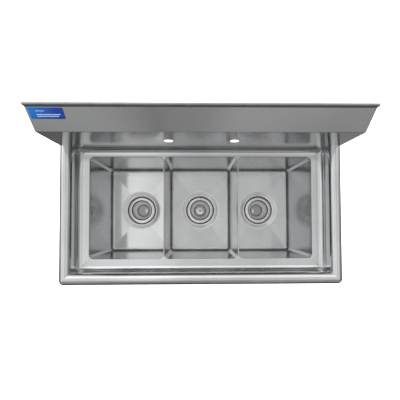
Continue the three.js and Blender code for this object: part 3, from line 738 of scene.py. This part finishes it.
def build_bowls():
    shell = skin(thickened(bowl_rows()), looped=True)
    for name, x in BOWL_X.items():
        shape = at(shell, x, BOWL_Y, 0)
        bowl = piece(f"bowl_shell_{name}", shape, bowl_steel, [f"bowl_{name}"], sharp=50)
        finish_part(bowl, wall_steel, lambda px, py, pz: pz > FLOOR_Z + COVE_EDGE)
        finish_part(bowl, cove_steel, lambda px, py, pz: in_floor_cove(px - x, py - BOWL_Y, pz))
        # The dish round the drain gets the paler steel, as painted light.
        finish_part(bowl, dish_painted_light_steel, within(DISH_EDGE_R, x))
    for side in ("left", "right"):
        build_divider(side)


def build_divider(side):
    """The ground weld between two bowls: a web with a slightly domed bead along its top."""
    node = f"divider_strip_{side}"
    low, high = box_mm(node)
    x = middle_mm(node)[0]
    web, bead, dome, bead_z = 0.45, 0.85, 0.35, LEDGE_Z - 0.3
    outline = [(x + web, low.z), (x + web, bead_z)]
    outline += [(x + bead * a, bead_z + dome * b) for a, b in arc(0, 0, 1, 0, 180, 8)]
    outline += [(x - web, bead_z), (x - web, low.z)]
    shape = along_y(outline, low.y, high.y)
    piece(f"divider_seam_{side}", shape, weld_steel, [node])


# ---- welds

WELD_R = 1.1
SEAM_R = 0.8  # where the end of the roll meets the splash


def weld(name, path, radius=WELD_R):
    """A ground weld bead that follows a path in millimetres, a little uneven."""

    def radius_at(share):
        uneven = math.sin(37 * share) + math.sin(61 * share + 1) + math.sin(113 * share + 2)
        return radius * (0.9 + 0.08 * uneven) * min(1, 12 * min(share, 1 - share) + 0.3)

    piece(name, tube(path, radius_at), weld_steel, sharp=60)


def mitre_path(corner_x, corner_y, step_x, step_y, stop_inset, height):
    """Along the rim at a mitre: over the roll, down the upright sheet, round the cove and over the ledge."""
    section = arc(ROLL_R, ROLL_RISE, ROLL_R, 80, 10, 10)
    section += [(RISER_INSET, height - (height - COVE_R) * i / 8) for i in range(8)]
    section += arc(RISER_INSET + COVE_R, COVE_R, COVE_R, 180, 270, 12)
    reach = stop_inset - RISER_INSET - COVE_R
    section += [(RISER_INSET + COVE_R + reach * i / 8, 0) for i in range(1, 9)]
    sunk = 0.55 * WELD_R
    return [(corner_x + step_x * u, corner_y + step_y * u, LEDGE_Z + v - sunk) for u, v in section]


def build_welds():
    stop = RIM_WIDTH + BOWL_CORNER_R * (1 - math.sqrt(0.5)) - 1
    for side, sign in (("left", -1), ("right", 1)):
        front = mitre_path(sign * HALF_WIDTH, FRONT_Y, -sign, 1, stop, ROLL_RISE)
        weld(f"weld_front_{side}", front)
        reach = BACK_LEDGE - COVE_R
        mitre = [(COVE_R + reach * i / 4, -0.5) for i in range(4, 0, -1)]
        mitre += [(COVE_R - u, COVE_R - v - 0.4) for v, u in arc(0, 0, COVE_R, 0, 90, 12)]
        back = [(sign * (RISER_X - u), SPLASH_Y - u, LEDGE_Z + v) for u, v in mitre]
        weld(f"weld_back_{side}", back, SEAM_R)
        upright = [(RISER_INSET, height) for height in range(COVE_R, 45, 3)]
        roll = arc(ROLL_R, ROLL_RISE, ROLL_R - SEAM_R, 0, ROLL_SWEEP, 40)
        seam = [(sign * (HALF_WIDTH - u), SPLASH_Y - 0.2, LEDGE_Z + v) for u, v in upright + roll]
        weld(f"weld_roll_end_{side}", seam, SEAM_R)


# ---- drains, heights from the seat

FLANGE_R = 57.15
CUP_TOP_R = 42
CUP_BOTTOM_R = 26
CUP_DEPTH = 41
COLLAR_R = 45.2
COLLAR_END = 18
OUTLET_R = 22
OUTLET_BORE_R = 18.6
OUTLET_END = 64
CUP_WALL = 2.5
CUP_OUTSIDE = ((31.6, -37.4), (35.2, -32.2), (38.8, -25.5))
CUP_INSIDE = ((40.4, -8), (39, -15), (36.4, -22), (32.8, -28.5), (29.4, -33.4))
CUP_MOUTH = ((7, 2.85), (3.4, 3.0), (2.6, 2.7), (1.9, 1.5), (1.1, 1.1))  # outside CUP_TOP_R, height
FLANGE_EDGE = ((0.5, 0.3), (0, 0.7), (0, 1.0), (0.3, 1.35), (1.0, 1.7), (2.6, 2.1))  # inset, height
THREAD_INSET = 0.9  # from the crest of a drain's thread to the wall under it
THREAD_DEPTH = 0.85
NUT_BORE_R = COLLAR_R + 0.5


def ridge(radius, depth, pitch, z0, z1, segments=48):
    """A screw thread's crest on the Z axis: a three-sided ridge wound as a helix."""
    count = int((z1 - z0) / pitch * segments)
    half = 0.42 * pitch
    rings = []
    for i in range(count + 1):
        angle = 2 * math.pi * i / segments
        z = z0 + half + (z1 - z0 - 2 * half) * i / count
        fade = min(1, i / 12, (count - i) / 12)
        inner, crest = radius - 0.3, radius + depth * fade
        section = ((inner, z - half), (crest, z), (inner, z + half))
        rings.append([polar(r, angle, height) for r, height in section])
    return skin(rings)


def drain_shape():
    outlet_wall, collar_wall = OUTLET_R - THREAD_INSET, COLLAR_R - THREAD_INSET
    cup_under = -CUP_DEPTH - CUP_WALL
    profile = [(OUTLET_BORE_R, -OUTLET_END), (OUTLET_R - 1, -OUTLET_END)]
    profile += [(outlet_wall, -OUTLET_END + 0.5), (outlet_wall, cup_under - 1), (OUTLET_R, cup_under)]
    profile += [(CUP_BOTTOM_R + 1, cup_under), (CUP_BOTTOM_R + CUP_WALL, -CUP_DEPTH - 1)]
    profile += [*CUP_OUTSIDE, (COLLAR_R - CUP_WALL - 1, -COLLAR_END - 1)]
    profile += [(COLLAR_R - CUP_WALL, -COLLAR_END), (collar_wall, -COLLAR_END)]
    profile += [(collar_wall, -0.6), (COLLAR_R, 0.3)]
    profile += [(FLANGE_R - inset, z) for inset, z in FLANGE_EDGE]
    profile += [(CUP_TOP_R + outset, z) for outset, z in CUP_MOUTH]
    profile += arc(CUP_TOP_R + 0.6, 0.4, 0.6, 90, 180, 3)
    profile += [(CUP_TOP_R - 1, -2.5), *CUP_INSIDE, (CUP_BOTTOM_R + 1.4, -CUP_DEPTH + 3.4)]
    profile += arc(CUP_BOTTOM_R - 2, -CUP_DEPTH + 3, 3, -10, -90, 5)
    profile += [(OUTLET_BORE_R + 0.8, -CUP_DEPTH), (OUTLET_BORE_R, -CUP_DEPTH - 0.8)]
    return merged(
        turned(profile, 96),
        ridge(collar_wall, THREAD_DEPTH, 1.8, -COLLAR_END + 0.2, -0.2, 72),
        ridge(outlet_wall, THREAD_DEPTH, 2.2, -OUTLET_END + 0.3, cup_under - 0.4),
    )


STRAINER_FLOOR = -CUP_DEPTH + 0.3
STRAINER_PLATE = 1.2
STRAINER_RIM_R = 24.4
STRAINER_RINGS = ((6, 8.8), (12, 14.2), (18, 19.6))  # holes, on radius
STRAINER_HOLE_R = 1.7
STRAINER_EDGE = ((1.3, 4.6), (1.1, 5), (0.4, 4.9))  # outside the rim, over the floor
STRAINER_STEM = ((5, 0), (3.2, 0.4), (2.4, 1.6), (2.6, 3))  # radius, over the plate
STRAINER_KNOB = ((4.2, 3.6), (5, 4.7), (4.6, 5.9), (3, 6.6), (0, 6.8))


def strainer_blank():
    floor, top = STRAINER_FLOOR, STRAINER_FLOOR + STRAINER_PLATE
    profile = [(0, floor), (STRAINER_RIM_R - 1.2, floor), (STRAINER_RIM_R, floor + 0.8)]
    profile += [(STRAINER_RIM_R + outset, floor + rise) for outset, rise in STRAINER_EDGE]
    profile += [(STRAINER_RIM_R - 0.9, top + 0.8), (STRAINER_RIM_R - 1.8, top)]
    profile += [(r, top + rise) for r, rise in STRAINER_STEM + STRAINER_KNOB]
    return turned(profile, 72)


def strainer_mesh():
    """The strainer plate with its holes, about the drain's axis."""
    hole = cylinder(STRAINER_HOLE_R, -CUP_DEPTH - 5, -CUP_DEPTH + 4, 12)
    holes = [at(hole, *place) for count, radius in STRAINER_RINGS for place in ring(radius, 0, count)]
    return boolean_mesh(strainer_blank(), [merged(*holes)])


def gasket_shape():
    top, thick, outer = -SHEET - 0.3, 3, 56
    profile = arc(outer - 0.8, top - thick + 0.8, 0.8, -90, 0, 4)
    profile += arc(outer - 0.8, top - 0.8, 0.8, 0, 90, 4)
    profile += [(NUT_BORE_R, top), (NUT_BORE_R, top - thick)]
    return turned(profile, 96)


LOCKNUT_TOP = -4.8
LOCKNUT_T = 8


def locknut_shape():
    """A ring with eight lugs for a spanner, its edges chamfered."""
    lugs, body_r, lug_r = 8, 51.5, 56.4
    per_lug = 24
    angles, radii = [], []
    for i in range(lugs * per_lug):
        share = abs((i % per_lug) / per_lug - 0.5) * 2
        rise = min(max((0.42 - share) / 0.1, 0), 1)
        angles.append(2 * math.pi * i / (lugs * per_lug))
        radii.append(body_r + (lug_r - body_r) * rise * rise * (3 - 2 * rise))
    top, bottom = LOCKNUT_TOP, LOCKNUT_TOP - LOCKNUT_T
    rows = []
    for shrink, z in ((None, top), (1, top), (0, top - 1), (0, bottom + 1), (1, bottom), (None, bottom)):
        row = [NUT_BORE_R if shrink is None else radius - shrink for radius in radii]
        rows.append([polar(radius, angle, z) for radius, angle in zip(row, angles)])
    return skin(rows, looped=True, capped=False)


def hexagon(corner_r, segments):
    """Radius of a hexagon with that corner radius, every step round."""
    found = []
    for i in range(segments):
        angle = (2 * math.pi * i / segments) % (math.pi / 3)
        found.append(corner_r * math.cos(math.pi / 6) / math.cos(angle - math.pi / 6))
    return found


def hex_nut(corner_r, low, high, bores, segments=96):
    """A chamfered hexagon from low to high round bores, its inner (radius, height) from the top down."""
    edge_r = 0.94 * corner_r
    fall = math.tan(math.radians(30))
    step = 2 * math.pi / segments
    rows = [ring(edge_r, high, segments)]
    for end, sign in ((high, -1), (low, 1)):
        row = []
        for i, r in enumerate(hexagon(corner_r, segments)):
            row.append(polar(r, i * step, end + sign * max(r - edge_r, 0) * fall))
        rows.append(row)
    rows.append(ring(edge_r, low, segments))
    rows += [ring(r, z, segments) for r, z in bores[::-1]]
    return skin(rows, looped=True, capped=False)


TAIL_R = 19.05
TAIL_WALL = 1.5
TAIL_FLANGE_R = 21.5
TAIL_FLANGE_T = 2
COUPLING_CORNER_R = 28
COUPLING_LIP_Z = -OUTLET_END - TAIL_FLANGE_T - 0.6


def coupling_shape():
    """Slip nut: it screws onto the outlet and holds the tailpiece up by its flange."""
    top, lip, bottom = -OUTLET_END + 15, COUPLING_LIP_Z, COUPLING_LIP_Z - 3
    thread_r, tail_r = OUTLET_R + 0.4, TAIL_R + 0.4
    bores = [(thread_r + 0.8, top), (thread_r, top - 0.8), (thread_r, lip), (tail_r, lip), (tail_r, bottom)]
    return hex_nut(COUPLING_CORNER_R, bottom, top, bores)


def tail_shape():
    low, high = box_mm("tailpiece_center")
    top, bottom = high.z - SEAT_Z, low.z - SEAT_Z
    bore, flange_z = TAIL_R - TAIL_WALL, top - TAIL_FLANGE_T
    profile = [(bore + 0.3, bottom), (TAIL_R - 0.3, bottom), (TAIL_R, bottom + 0.3)]
    profile += [(TAIL_R, flange_z - 0.6), (TAIL_R + 0.6, flange_z), (TAIL_FLANGE_R - 0.4, flange_z)]
    profile += [(TAIL_FLANGE_R, flange_z + 0.4), (TAIL_FLANGE_R, top - 0.4), (TAIL_FLANGE_R - 0.4, top)]
    profile += [(bore + 0.6, top), (bore, top - 0.6), (bore, bottom + 0.3)]
    return turned(profile, 72)


def painted_shade_ring_shape():
    """A black ring round the flange, laid like a bead of sealing putty: painted shadow for the dark gap
    round the flange's edge.
    """
    section = ((-1, 0.05), (4.4, 0.05), (3.4, 0.7), (-1, 1.3))
    return turned([(FLANGE_R + outset, z) for outset, z in section], 96)


def finish_cup(drain, drain_x):
    """A satin slope inside the cup, with painted shade: black faces for the dark lines of shade round its
    edge and round the strainer.
    """
    inside = within(CUP_TOP_R + 1.6, drain_x)
    bottom, slope_low, slope_high, edge = (SEAT_Z + z for z in (-CUP_DEPTH, -CUP_DEPTH + 5, -5, 1.4))
    finish_part(drain, satin_steel, lambda x, y, z: inside(x, y, z) and slope_low < z < slope_high)
    # The black bands at the cup's top and bottom are painted shade.
    finish_part(
        drain,
        painted_shade_black,
        lambda x, y, z: inside(x, y, z) and (bottom < z < slope_low or slope_high < z < edge),
    )


def build_drains():
    strainer = strainer_mesh()
    parts = (
        ("drain", drain_shape(), drain_steel, "drain_steel", "drain_body"),
        ("gasket", gasket_shape(), rubber, "gasket_rubber", "drain_gasket"),
        ("locknut", locknut_shape(), cast_zinc, "zinc_steel", "drain_locknut"),
        ("tail_tube", tail_shape(), drain_steel, "drain_steel", "tailpiece"),
        ("slip_nut", coupling_shape(), drain_steel, "drain_steel", "coupling_nut"),
    )
    for name, x in BOWL_X.items():
        for own, shape, material, slot, node in parts:
            shape = at(shape, x, BOWL_Y, SEAT_Z)
            made = piece(f"{own}_{name}", shape, material, [f"{node}_{name}"])
            if own == "drain":
                finish_cup(made, x)
            if own == "tail_tube":
                # The tail tube's bore is painted near-black as shade.
                finish_part(made, pipe_inside_painted_shade, within(TAIL_R - TAIL_WALL + 0.5, x))
        # A black ring round each flange: painted shadow.
        piece(f"painted_shade_ring_{name}", at(painted_shade_ring_shape(), x, BOWL_Y, SEAT_Z), painted_shade_black)
        mesh = strainer.copy()
        mesh.transform(Matrix.Translation(Vector((x, BOWL_Y, SEAT_Z)) * MM))
        node = f"strainer_{name}"
        # The strainer gets the darker steel, as painted shade.
        dressed(f"strainer_plate_{name}", mesh, strainer_painted_shade_steel, [node], node, sharp=40)


# ---- channels, legs and braces

LEG_R = 20.65
LEG_WALL = 1.6
LEG_SPREAD = 412
LEG_X = {name: -LEG_SPREAD if name.endswith("left") else LEG_SPREAD for name in CORNER_NAMES}
LEG_Y = {name: middle_mm(f"leg_{name}")[1] for name in CORNER_NAMES}
SLEEVE_R = 25
SLEEVE_BORE_R = 21
BRACE_R = 12.7
BRACE_WALL = 1.5
BRACE_Z = middle_mm("brace_back")[2]
SOCKET_REACH = 46
CLAMP_HALF = 19
CHANNEL_SHEET = 2
CHANNEL_BEND_R = 3


def build_channels():
    for side in ("left", "right"):
        low, high = box_mm(f"channel_{side}")
        corners = [(low.x, high.z), (low.x, low.z), (high.x, low.z), (high.x, high.z)]
        path = rounded(corners, CHANNEL_BEND_R)
        shape = along_y(bent_sheet(path, CHANNEL_SHEET, 1), low.y, high.y)
        piece(f"channel_bent_{side}", shape, plain_steel, [f"channel_{side}"])


def leg_socket_shape(name):
    """Plate and flared sleeve, with the weld between them. Heights from the top of the plate."""
    low, high = box_mm(f"leg_socket_{name}")
    x, y = LEG_X[name], LEG_Y[name]
    centre_x, centre_y = (low.x + high.x) / 2 - x, (low.y + high.y) / 2 - y
    half_w, half_l = (high.x - low.x) / 2, (high.y - low.y) / 2
    rows = []
    for inset, z in ((0.8, 0), (0, -0.8), (0, -3.4), (0.6, -4)):
        outline = rounded_rectangle(centre_x, centre_y, half_w - inset, half_l - inset, 5 - inset, 6)
        rows.append(level(outline, z))
    plate = skin(rows)
    foot = low.z - high.z
    profile = [(SLEEVE_BORE_R, foot), (SLEEVE_R - 0.8, foot), (SLEEVE_R, foot + 0.8), (SLEEVE_R, -24)]
    profile += [(SLEEVE_R + 0.5, -17), (SLEEVE_R + 2.2, -8), (SLEEVE_R + 3.2, -5.4), (SLEEVE_R + 3.2, -3)]
    profile += [(SLEEVE_BORE_R, -3)]
    sleeve = turned(profile, 64)
    return at(merged(plate, sleeve), x, y, high.z)


def screw_shape(sign):
    """Hexagon-headed set screw along +X, its head's face towards +X."""
    shank = turned([(0, -4), (3.6, -4), (4, -3.6), (4, 1), (0, 1)], 24)
    washer = cylinder(6.6, 0, 0.6, 36)
    head = hex_nut(7, 0.6, 5, [(0.01, 5), (0.01, 0.6)], 48)
    turn = Matrix.Rotation(sign * math.pi / 2, 4, "Y")
    return placed(merged(shank, washer, head), turn)


def tube_shape(radius, wall, low, high, segments=64):
    """A plain tube with its outer edges broken."""
    edge = 0.25
    profile = [(radius - wall, low), (radius - edge, low), (radius, low + edge), (radius, high - edge)]
    profile += [(radius - edge, high), (radius - wall, high)]
    return turned(profile, segments)


def plug_shape():
    low, high = box_mm("leg_plug_front_left")
    z, top = low.z, high.z
    inside = LEG_R - LEG_WALL - 0.5
    profile = [(8.3, z), (LEG_R - 1.2, z), (LEG_R - 0.3, z + 0.4), (LEG_R, z + 1.2), (LEG_R, z + 2.6)]
    profile += [(LEG_R - 0.4, z + 3), (inside, z + 3), (inside, top - 1), (inside - 1, top), (8.3, top)]
    return turned(profile, 64)


FOOT_TOP = 62
FOOT_SIDE = ((0, 0), (10.8, 0), (12, 0.5), (13.6, 2), (15.2, 8), (17, 20), (18.4, 30), (19.4, 40))
FOOT_GROOVE = ((20, 46), (20, 51), (19.2, 51.6), (19.2, 52.6), (20, 53.2))
STEM_R = 7.9
STEM_CORE_R = STEM_R - 0.8
STEM_TOP = 126


def foot_shape():
    """Bullet foot with a groove round its shoulder, and its threaded stem."""
    profile = [*FOOT_SIDE, *FOOT_GROOVE, (20, FOOT_TOP - 4.4)]
    profile += arc(16.6, FOOT_TOP - 3.4, 3.4, -5, 90, 6)
    profile += [(9.6, FOOT_TOP), (9.6, FOOT_TOP + 1.2), (STEM_CORE_R, FOOT_TOP + 1.4)]
    profile += [(STEM_CORE_R, STEM_TOP - 1.5), (STEM_R - 2, STEM_TOP), (0, STEM_TOP)]
    return merged(turned(profile, 72), ridge(STEM_CORE_R, 0.78, 2, FOOT_TOP + 1.5, STEM_TOP - 1.6, 40))


CLAMP_DIRECTIONS = {
    "front_left": ((0, 1),),
    "front_right": ((0, 1),),
    "back_left": ((0, -1), (1, 0)),
    "back_right": ((0, -1), (-1, 0)),
}


def clamp_shape(name):
    """Ring round the leg with a fillet to a socket for each brace. Heights from the brace's middle."""
    edge = 1.2
    half = CLAMP_HALF
    profile = [(SLEEVE_BORE_R, -half), (SLEEVE_R - edge, -half), (SLEEVE_R, -half + edge)]
    profile += [(SLEEVE_R, half - edge), (SLEEVE_R - edge, half), (SLEEVE_BORE_R, half)]
    shapes = [turned(profile, 64)]
    mouth, wall = BRACE_R + 0.35, 3
    socket_r = mouth + wall
    for dx, dy in CLAMP_DIRECTIONS[name]:
        socket = [(mouth, SLEEVE_R - 1), (socket_r + 2.1, SLEEVE_R - 1.4), (socket_r + 0.8, SLEEVE_R + 2.2)]
        socket += [(socket_r, SLEEVE_R + 5), (socket_r, SOCKET_REACH - 1), (socket_r - 1, SOCKET_REACH)]
        socket += [(mouth + 0.4, SOCKET_REACH), (mouth, SOCKET_REACH - 0.4)]
        turn = Vector((0, 0, 1)).rotation_difference(Vector((dx, dy, 0))).to_matrix().to_4x4()
        shapes.append(placed(turned(socket, 48), turn))
    return merged(*shapes)


def build_understructure():
    build_channels()
    plug, foot = plug_shape(), foot_shape()
    for name in CORNER_NAMES:
        x, y = LEG_X[name], LEG_Y[name]
        low, high = box_mm(f"leg_{name}")
        socket = leg_socket_shape(name)
        piece(f"socket_{name}", socket, cast_zinc, [f"leg_socket_{name}"], sharp=40)
        leg = at(tube_shape(LEG_R, LEG_WALL, low.z, high.z), x, y, 0)
        piece(f"leg_tube_{name}", leg, zinc, [f"leg_{name}"])
        piece(f"plug_{name}", at(plug, x, y, 0), plug_plastic, [f"leg_plug_{name}"])
        own_foot = f"foot_{name}"
        piece(f"bullet_{name}", at(foot, x, y, 0), cast_zinc, [own_foot], body=own_foot)
        clamp = at(clamp_shape(name), x, y, BRACE_Z)
        piece(f"clamp_{name}", clamp, cast_zinc, [f"brace_clamp_{name}"], sharp=40)
        sign = 1 if x > 0 else -1
        screw_z = middle_mm(f"set_screw_{name}")[2]
        screw = at(screw_shape(sign), x + sign * (SLEEVE_R + 0.3), y, screw_z)
        piece(f"screw_{name}", screw, cast_zinc, [f"set_screw_{name}"])
    for node in ("brace_left", "brace_right", "brace_back"):
        low, high = box_mm(node)
        size = high - low
        half = max(size) / 2
        turn = Matrix.Rotation(math.pi / 2, 4, "Y" if size.x > size.y else "X")
        tube_along = placed(tube_shape(BRACE_R, BRACE_WALL, -half, half, 48), turn)
        tube_along = at(tube_along, *middle_mm(node))
        piece(f"{node}_tube", tube_along, zinc, [node])


# ---- sticker

LABEL_HALF_W = 45
LABEL_HALF_H = 15
LABEL_T = 0.4
LABEL_LIGHT = (0.003, 0.07, 0.24)
LABEL_DARK = (0.003, 0.018, 0.13)
LABEL_PALE = (0.26, 0.31, 0.42)
LABEL_BARS = ((-0.6, 0.78, -0.24, -0.12), (-0.6, 0.66, -0.56, -0.44), (-0.6, -0.1, 0.42, 0.5))


def between(made, value, low, high):
    above = made.maths(value, low, "GREATER_THAN")
    below = made.maths(value, high, "LESS_THAN")
    return made.maths(above, below, "MULTIPLY")


def label_material(centre, up):
    """Blue printed film, paler towards its left, with blank pale bars."""
    made = Surface("label_film")
    axes = []
    for axis, half in ((Vector((1, 0, 0)), LABEL_HALF_W), (up, LABEL_HALF_H)):
        dot = made.node("ShaderNodeVectorMath", {0: made.place, 1: axis}, operation="DOT_PRODUCT")
        start, end = ((centre.dot(axis) + reach) * MM for reach in (-half, half))
        axes.append(made.spread(dot.outputs["Value"], -1, 1, start, end))
    across, along = axes
    marks = None
    for x0, x1, y0, y1 in LABEL_BARS:
        box = made.maths(between(made, across, x0, x1), between(made, along, y0, y1), "MULTIPLY")
        marks = made.maths(marks, box, "MAXIMUM") if marks else box
    blue = made.colour(made.spread(across, 0, 1, -0.9, 0.6), LABEL_LIGHT, LABEL_DARK)
    made.colour(marks, blue, LABEL_PALE)
    ripple = made.noise(90, detail=1)
    made.feed("Roughness", made.spread(ripple, 0.24, 0.32))
    made.feed("Normal", made.bump(ripple, 0.05, 0.001))
    return made.material


def build_label():
    centre = Vector(middle_mm("label_sticker"))
    up = Vector((0, 1, 1)).normalized()
    out = Vector((0, -1, 1)).normalized()
    outline = rounded_rectangle(0, 0, LABEL_HALF_W, LABEL_HALF_H, 2.5, 5)
    rows = []
    for depth, inset in ((-0.5, 0), (0.3, 0), (0.5, 0.15)):
        share = 1 - inset / LABEL_HALF_H
        middle = centre + out * depth * LABEL_T
        rows.append([tuple(middle + Vector((a * share, 0, 0)) + up * b * share) for a, b in outline])
    piece("sticker", skin(rows), label_material(centre, up), ["label_sticker"])


# ---- camera, light and floor

LENS_PX = 269.8  # focal length in pixels of the 400-pixel frame
FRAME_PX = 400
SENSOR_WIDTH = 36
CAMERA_AT = Vector((-16.6, BOWL_Y - 41.6, LEDGE_Z + 924.5)) * MM
CAMERA_TURN = (0.027, -0.016, -0.003)
CENTRE_PX = (200.7, 212.4)


def build_camera():
    data = bpy.data.cameras.new("camera")
    data.sensor_width = SENSOR_WIDTH
    data.lens = SENSOR_WIDTH * LENS_PX / FRAME_PX
    data.shift_x = (FRAME_PX / 2 - CENTRE_PX[0]) / FRAME_PX
    data.shift_y = (CENTRE_PX[1] - FRAME_PX / 2) / FRAME_PX
    camera = linked("camera", data)
    camera.location = CAMERA_AT
    camera.rotation_euler = Euler(CAMERA_TURN, "XYZ")
    bpy.context.scene.camera = camera


WASH_HEIGHT = 5.0  # metres
WASH_SIZE = 6.0
WASH_POWER = 700


def build_floor_wash():
    """A broad soft light straight down onto the floor."""
    data = bpy.data.lights.new("floor_wash", "AREA")
    data.energy = WASH_POWER
    data.shape = "RECTANGLE"
    data.size = data.size_y = WASH_SIZE
    lamp = linked("floor_wash", data)
    lamp.location = (0, 0, WASH_HEIGHT)
    lamp.visible_glossy = False


# Brightness of the studio by angle from straight up, in degrees: left to right, then front to back
ACROSS = (
    (-180, 0.33), (-160, 0.2), (-140, 0.15), (-118, 0.2), (-84, 0.36), (-74, 0.75), (-64, 1.02),
    (-56, 1.15), (-42, 1.2), (-32, 0.95), (-25, 0.8), (-19, 1.15), (-17.6, 1.1), (-17.1, 0.6),
    (-15.9, 0.6), (-15.4, 1.38), (-9, 1.16), (-5, 0.88), (0, 0.78), (22, 0.8), (30, 1.0), (40, 0.95),
    (50, 0.62), (62, 0.45), (80, 0.38), (92, 0.26), (108, 0.3), (180, 0.33),
)
ALONG = (
    (-180, 1.0), (-165, 1.0), (-140, 0.4), (-90, 0.3), (-64, 0.3), (-54, 0.28), (-40, 0.5),
    (-30, 0.75), (-16, 1.0), (-8, 1.1), (0, 1.0), (8, 0.95), (16, 1.1), (24, 1.35), (32, 1.85),
    (54, 1.8), (64, 1.0), (90, 0.8), (120, 0.8), (180, 1.0),
)

# The same for a second, low light at the front, which the sloped return of the splash mirrors
LOW_ACROSS = (
    (-180, 0), (-75, 0.12), (-60, 0.14), (-46, 0.14), (-41, 0.02), (-14, 0), (-8, 0.06), (12, 0.06),
    (17, 0.22), (20, 0.27), (26, 0.25), (33, 0.15), (38, 0.2), (46, 0.27), (75, 0.28), (100, 0),
    (180, 0),
)
LOW_ALONG = ((-180, 0), (-86, 0), (-80, 1), (-60, 1), (-54, 0), (180, 0))
CURVE_TOP = 2  # the brightness at the top of a curve


def brightness_curve(sky, angle, points):
    """Brightness, as a share of CURVE_TOP, read from a curve of (degrees, brightness)."""
    share = sky.spread(angle, 0, 1, -math.pi, math.pi)
    curve = sky.node("ShaderNodeFloatCurve", {"Value": share})
    line = curve.mapping.curves[0]
    line.points[0].location = (0, points[0][1] / CURVE_TOP)
    line.points[1].location = (1, points[-1][1] / CURVE_TOP)
    for degrees, brightness in points[1:-1]:
        line.points.new((degrees + 180) / 360, brightness / CURVE_TOP)
    for point in line.points:
        point.handle_type = "VECTOR"
    curve.mapping.update()
    return curve.outputs["Value"]


def build_world():
    world = bpy.data.worlds.new("studio")
    bpy.context.scene.world = world
    sky = Nodes(world)
    place = sky.node("ShaderNodeTexCoord", {}).outputs["Generated"]
    split = sky.node("ShaderNodeSeparateXYZ", {"Vector": place})
    side, depth = (sky.maths(split.outputs[axis], split.outputs["Z"], "ARCTAN2") for axis in "XY")
    products = []
    for across, along in ((ACROSS, ALONG), (LOW_ACROSS, LOW_ALONG)):
        levels = brightness_curve(sky, side, across), brightness_curve(sky, depth, along)
        products.append(sky.maths(*levels, "MULTIPLY"))
    brightness = sky.maths(sky.maths(*products), CURVE_TOP**2, "MULTIPLY")
    sky.link(brightness, sky.tree.nodes["Background"].inputs["Color"])


FLOOR_RINGS = (0, 1000, 3000, 9000)
STAGE_Z = -0.5  # just under the feet
BACKDROP_R = 14000
BACKDROP_ROWS = 24
STAGE_SEGMENTS = 96


def stage_surface(name, section, looks):
    """A surface turned about the middle of the studio. looks gives the inputs of its shader."""
    rings = [ring(radius, z, STAGE_SEGMENTS) for radius, z in section]
    surface = linked(name, raw_mesh(name, skin(rings, capped=False)))
    made = Surface(name)
    for key, value in looks.items():
        made.feed(key, value)
    surface.data.materials.append(made.material)
    return surface


def build_floor():
    section = [(radius, STAGE_Z) for radius in FLOOR_RINGS]
    looks = {"Base Color": (0.9, 0.9, 0.9, 1), "Roughness": 0.9, "Specular IOR Level": 0.1}
    floor = stage_surface("studio_floor", section, looks)
    floor.visible_glossy = False
    floor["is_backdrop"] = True


def build_backdrop():
    """A plain pale dome that only the camera sees, in front of the studio's bright and dark strips."""
    section = arc(0, 0, BACKDROP_R, -180 / BACKDROP_ROWS, 90, BACKDROP_ROWS + 2)
    looks = {"Base Color": (0, 0, 0, 1), "Specular IOR Level": 0}
    looks |= {"Emission Color": (0.95, 0.95, 0.95, 1), "Emission Strength": 1}
    backdrop = stage_surface("studio_backdrop", section, looks)
    for ray in ("diffuse", "glossy", "transmission", "volume_scatter", "shadow"):
        setattr(backdrop, f"visible_{ray}", False)
    backdrop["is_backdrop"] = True


def build_studio():
    build_camera()
    build_world()
    build_floor()
    build_backdrop()
    build_floor_wash()
    bpy.context.scene.view_settings.view_transform = "Standard"


build_studio()
build_rims()
build_splash()
build_bowls()
build_welds()
build_drains()
build_understructure()
build_label()
